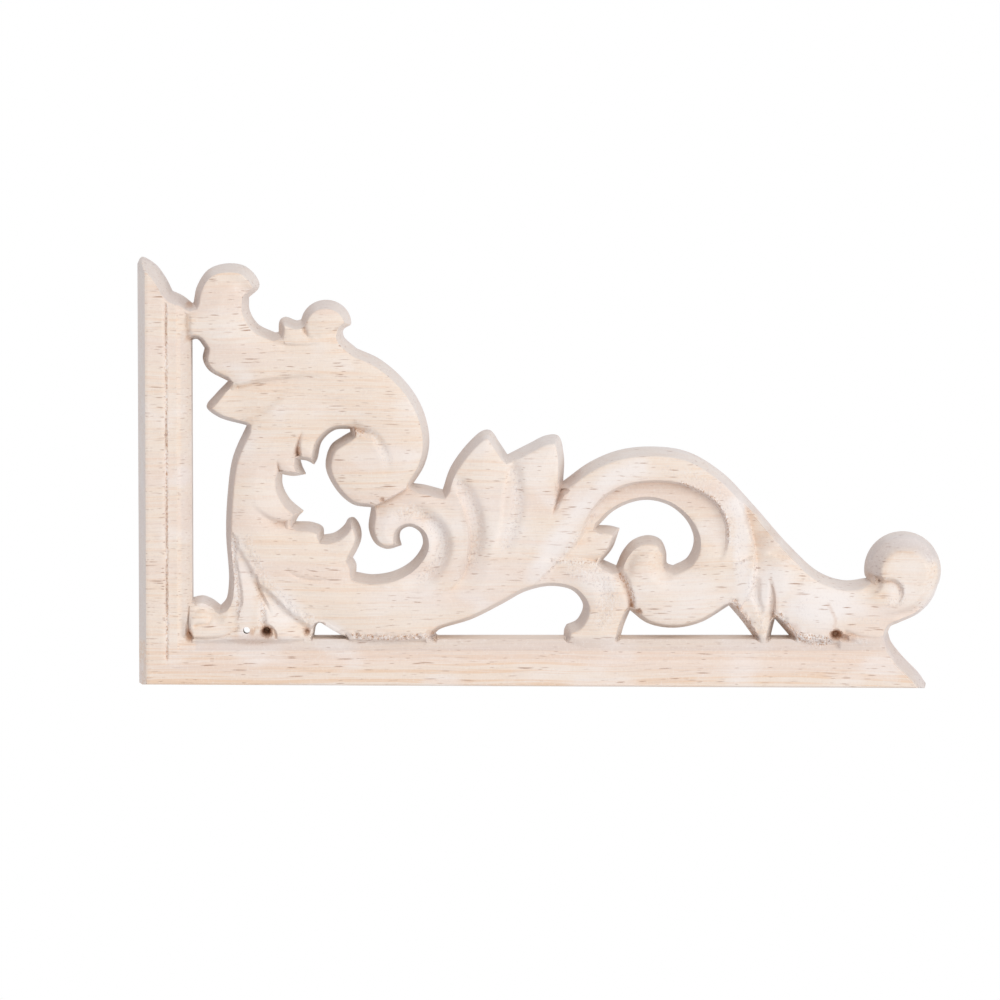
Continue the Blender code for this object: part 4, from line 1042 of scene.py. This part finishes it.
wood = {
    "pale": (0.855, 0.725, 0.60, 1.0),
    "warm": (0.82, 0.60, 0.43, 1.0),
    "rosy": (0.82, 0.665, 0.56, 1.0),
    "white": (0.90, 0.835, 0.78, 1.0),
    "grey": (0.58, 0.49, 0.46, 1.0),
    "pore": (0.46, 0.27, 0.18, 1.0),
    # wall: the steep walls' greyer tone, partly sawn grain and partly painted cool side light and
    # sheen
    "wall": (0.72, 0.66, 0.615, 1.0),
    # painted light for the walls that face up under the gaps
    "paintedLedgeLight": (0.93, 0.80, 0.68, 1.0),
    "shade": (0.55, 0.48, 0.455, 1.0),
    # painted shade for the walls that face left
    "leftWallShade": (0.50, 0.38, 0.32, 1.0),
    "brown": (0.52, 0.27, 0.13, 1.0),
    # near black: burns, and painted shadow deep in the pits
    "scorchedAndShadowed": (0.10, 0.045, 0.02, 1.0),
    "roughness": 0.8,
    "specular": 0.25,
    "smoothAngle": 42,
}


def poreLayer(place, length, across, thin):
    # fine dashes along the grain, their spacing in millimetres along and across it
    cells = place.stretched(1 / length, 0.4 / across, 1 / across)
    gap = cells.node("TexVoronoi", {}, {"Vector": cells, "Scale": 1.0}, "Distance")
    chance = cells.node("TexVoronoi", {}, {"Vector": cells, "Scale": 1.0}, "Color").axis(0)
    return gap.between(0.35 * thin, thin, 1.0, 0.0) * chance.between(0.2, 0.95)


def porePattern(waved, onSide):
    # long, middling and short pores, and extra ones on the short rail
    cluster = waved.stretched(0.05, 0.1, 0.35).noise(2.0, 0.6)
    pores = poreLayer(waved, 7.5, 0.6, 0.24) + poreLayer(waved, 4.2, 0.48, 0.25) * 0.9
    pores = pores * cluster.between(0.34, 0.62) + poreLayer(waved, 2.7, 0.36, 0.21) * 0.75
    return pores + poreLayer(waved, 1.9, 0.36, 0.24) * onSide * 0.4


def grainColour(place, swayed, fibre, onFoot, grey, white):
    # pale wood with warm streaks, rosy bands and whiter clouds; the streaks fade under the painted
    # shade
    streaks = swayed.stretched(0.022, 0.7, 1.9).noise(3.0, 0.7)
    bands = swayed.stretched(0.014, 0.14, 0.2).noise(2.0, 0.5)
    clouds = place.stretched(0.09, 0.12, 0.16).noise(2.0, 0.5)
    grain = streaks.between(0.42, 0.74) * 0.8
    grain = grain + streaks.between(0.44, 0.58) * onFoot * 0.85 + onFoot * 0.12
    grain = grain * (1.0 - grey.between(0.1, 0.3) * 0.8)
    ends = {0: grain, 6: wood["pale"], 7: wood["warm"]}
    colour = place.node("Mix", {"data_type": "RGBA"}, ends, 2)
    colour = colour.tint(wood["rosy"], bands.between(0.46, 0.62) * 0.6)
    colour = colour.tint(wood["white"], clouds.between(0.5, 0.7) * 0.45)
    colour = colour.tint(wood["grey"], fibre.between(0.52, 0.78) * 0.22)
    colour = colour.tint(wood["white"], fibre.between(0.48, 0.22) * 0.3)
    # whiter places: whiter wood, and painted light round the bore
    return colour.tint(wood["white"], white * clouds.between(0.2, 0.5) * 0.75)


def tornColour(colour, place, speck, torn, stainAndShade):
    # specks and flecks of torn grain, and the cutter's brown marks, with painted shade near black
    # in the deepest pits
    fleck = place.stretched(3.4, 2.0, 2.8).noise(2.0, 0.7)
    rough = torn.between(0.75, 1.0)
    burntAndShaded = stainAndShade + (speck - 0.5) * stainAndShade * 1.6
    colour = colour.tint(wood["grey"], speck.between(0.5, 0.72) * 0.16)
    colour = colour.tint(wood["white"], speck.between(0.46, 0.3) * 0.3)
    colour = colour.tint(wood["white"], torn * speck.between(0.48, 0.66) * 0.8)
    colour = colour.tint(wood["grey"], torn * speck.between(0.47, 0.34) * 0.75)
    colour = colour.tint(wood["brown"], rough * fleck.between(0.47, 0.37) * 0.8)
    colour = colour.tint(wood["white"], rough * fleck.between(0.54, 0.64) * 0.85)
    browned = burntAndShaded.node("MapRange", {}, {"Value": burntAndShaded, "To Max": 0.85})
    colour = colour.tint(wood["brown"], browned)
    return colour.tint(wood["scorchedAndShadowed"], burntAndShaded.between(0.8, 1.2) * 0.9)


def bareWood():
    material = bpy.data.materials.new("bareWood")
    material.use_nodes = True
    material.node_tree.nodes.clear()
    start = Wire(material.node_tree)
    place = start.node("TexCoord", output="Object").stretched(1000.0, 1000.0, 1000.0)
    normal = start.node("TexCoord", output="Normal")
    torn, stainAndShade, grey, white = (start.node("Attribute", {"attribute_name": name}, output="Fac")
                                for name in ("torn", "stainAndShade", "grey", "white"))
    swayed = place.swayed(place.stretched(0.03, 0.03, 0.05).noise(1.0, output="Color"), 2.4)
    waved = swayed.swayed(place.stretched(0.22, 0.1, 0.4).noise(1.0, output="Color"), 0.5)
    fibre = waved.stretched(0.16, 1.6, 4.6).noise(2.0, 0.6)
    speck = place.stretched(2.6, 1.6, 2.0).noise(3.0, 0.75)
    up = place.axis(2)
    onFoot = up.between(4.2, 3.0)             # the long rail, below its cove
    onSide = place.axis(0).between(4.4, 4.0)  # the short rail
    pores = porePattern(waved, onSide)
    # Steep walls get the greyer wall colour: partly the sawn grain's own tone, partly painted cool
    # side light and sheen
    wall = start.math("ABSOLUTE", normal.axis(1)).between(0.6, 0.2)
    # Less wall tint on the long rail and in whiter places; in whiter places that paints light on
    # the walls
    wall = wall * (1.0 - onFoot * 0.7) * (1.0 - white * 0.7)
    # Painted shade: walls that face left are darkened and browned, as the side away from the key
    # light
    leftWallShade = normal.axis(0).between(-0.3, -0.8) * (1.0 - onSide)  # the carving's walls that face left
    # Painted light: the sawn walls that face up under the gaps are lightened against the shade
    # that falls there
    paintedLedgeLight = normal.axis(2).between(0.75, 0.95) * up.between(4.3, 4.1)  # sawn, under the gaps
    colour = grainColour(place, swayed, fibre, onFoot, grey, white)
    colour = colour.tint(wood["pore"], pores * 0.95)
    colour = colour.tint(wood["wall"], wall * 0.55)
    colour = colour.tint(wood["leftWallShade"], leftWallShade * 0.38)
    # painted shade, as strong as the grey mark
    colour = colour.tint(wood["shade"], grey)
    colour = colour.tint(wood["paintedLedgeLight"], paintedLedgeLight * 0.8)
    colour = tornColour(colour, place, speck, torn, stainAndShade)
    height = speck * torn * 1.5 + fibre * 0.15 + speck * 0.12 - pores * 0.8
    bump = start.node("Bump", {}, {"Height": height, "Strength": 0.45, "Distance": 0.00018})
    surface = start.node("BsdfPrincipled", {}, {
        "Base Color": colour, "Roughness": wood["roughness"],
        "Specular IOR Level": wood["specular"], "Normal": bump,
    })
    start.node("OutputMaterial", {}, {"Surface": surface})
    return material


onlay = carvedBoard()
onlay.data.materials.append(bareWood())
for other in bpy.context.selected_objects:
    other.select_set(False)
onlay.select_set(True)
bpy.context.view_layer.objects.active = onlay
bpy.ops.object.shade_smooth_by_angle(angle=math.radians(wood["smoothAngle"]))
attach(onlay, "root")
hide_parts("corner_onlay")
print("carved:", len(onlay.data.polygons), "faces")

studio = {
    "target": (0.05517, 0.0, 0.02642),   # what the camera looks at
    "distance": 1.3,
    "elevation": 5.6,
    "frameWidth": 0.1653,                # width of the view at the target
    "floorDrop": 0.32,
    "floorSize": 80.0,
    "sky": (0.90, 0.925, 1.0, 1.0),
    "skyStrength": 0.80,
    # Azimuth and elevation from the target, distance, size, energy and colour of each light
    "lights": {
        "keyLight": (60, -4, 1.4, 0.6, 4.4, (1.0, 1.0, 1.0)),
        "topLight": (12, 42, 1.5, 0.8, 4.6, (1.0, 1.0, 1.0)),
        "frontLight": (5, 10, 2.0, 1.0, 2.4, (1.0, 0.90, 0.76)),
    },
}


def fromTarget(azimuth, elevation, distance):
    # a place round the target, and the turn that looks back at it
    turn = math.radians(azimuth)
    tilt = math.radians(elevation)
    flat = math.cos(tilt)
    away = Vector((math.sin(turn) * flat, -math.cos(turn) * flat, math.sin(tilt)))
    return Vector(studio["target"]) + away * distance, away.to_track_quat("Z", "Y").to_euler()


def softLight(name, azimuth, elevation, distance, size, energy, colour):
    lamp = bpy.data.lights.new(name, "AREA")
    lamp.shape = "DISK"
    lamp.size = size
    lamp.energy = energy
    lamp.color = colour
    lampObject = bpy.data.objects.new(name, lamp)
    lampObject.location, lampObject.rotation_euler = fromTarget(azimuth, elevation, distance)
    bpy.context.collection.objects.link(lampObject)


def plainFloor():
    below = (0, 0, -studio["floorDrop"])
    bpy.ops.mesh.primitive_plane_add(size=studio["floorSize"], location=below)
    floor = bpy.context.object
    floor.name = "floor"
    material = bpy.data.materials.new("paleFloor")
    material.use_nodes = True
    material.node_tree.nodes.clear()
    start = Wire(material.node_tree)
    glow = start.node("Emission", {}, {"Color": (1, 1, 1, 1), "Strength": 1.0})
    start.node("OutputMaterial", {}, {"Surface": glow})
    floor.data.materials.append(material)
    floor.visible_diffuse = False


plainFloor()
for name, values in studio["lights"].items():
    softLight(name, *values)

world = bpy.data.worlds.new("paleSky")
bpy.context.scene.world = world
world.use_nodes = True
sky = world.node_tree.nodes["Background"]
sky.inputs["Color"].default_value = studio["sky"]
sky.inputs["Strength"].default_value = studio["skyStrength"]
bpy.context.scene.view_settings.view_transform = "Standard"

camera = bpy.data.cameras.new("camera")
camera.lens = camera.sensor_width * studio["distance"] / studio["frameWidth"]
cameraObject = bpy.data.objects.new("camera", camera)
seen = fromTarget(0, studio["elevation"], studio["distance"])
cameraObject.location, cameraObject.rotation_euler = seen
bpy.context.collection.objects.link(cameraObject)
bpy.context.scene.camera = cameraObject
print("lit, with the camera in place")
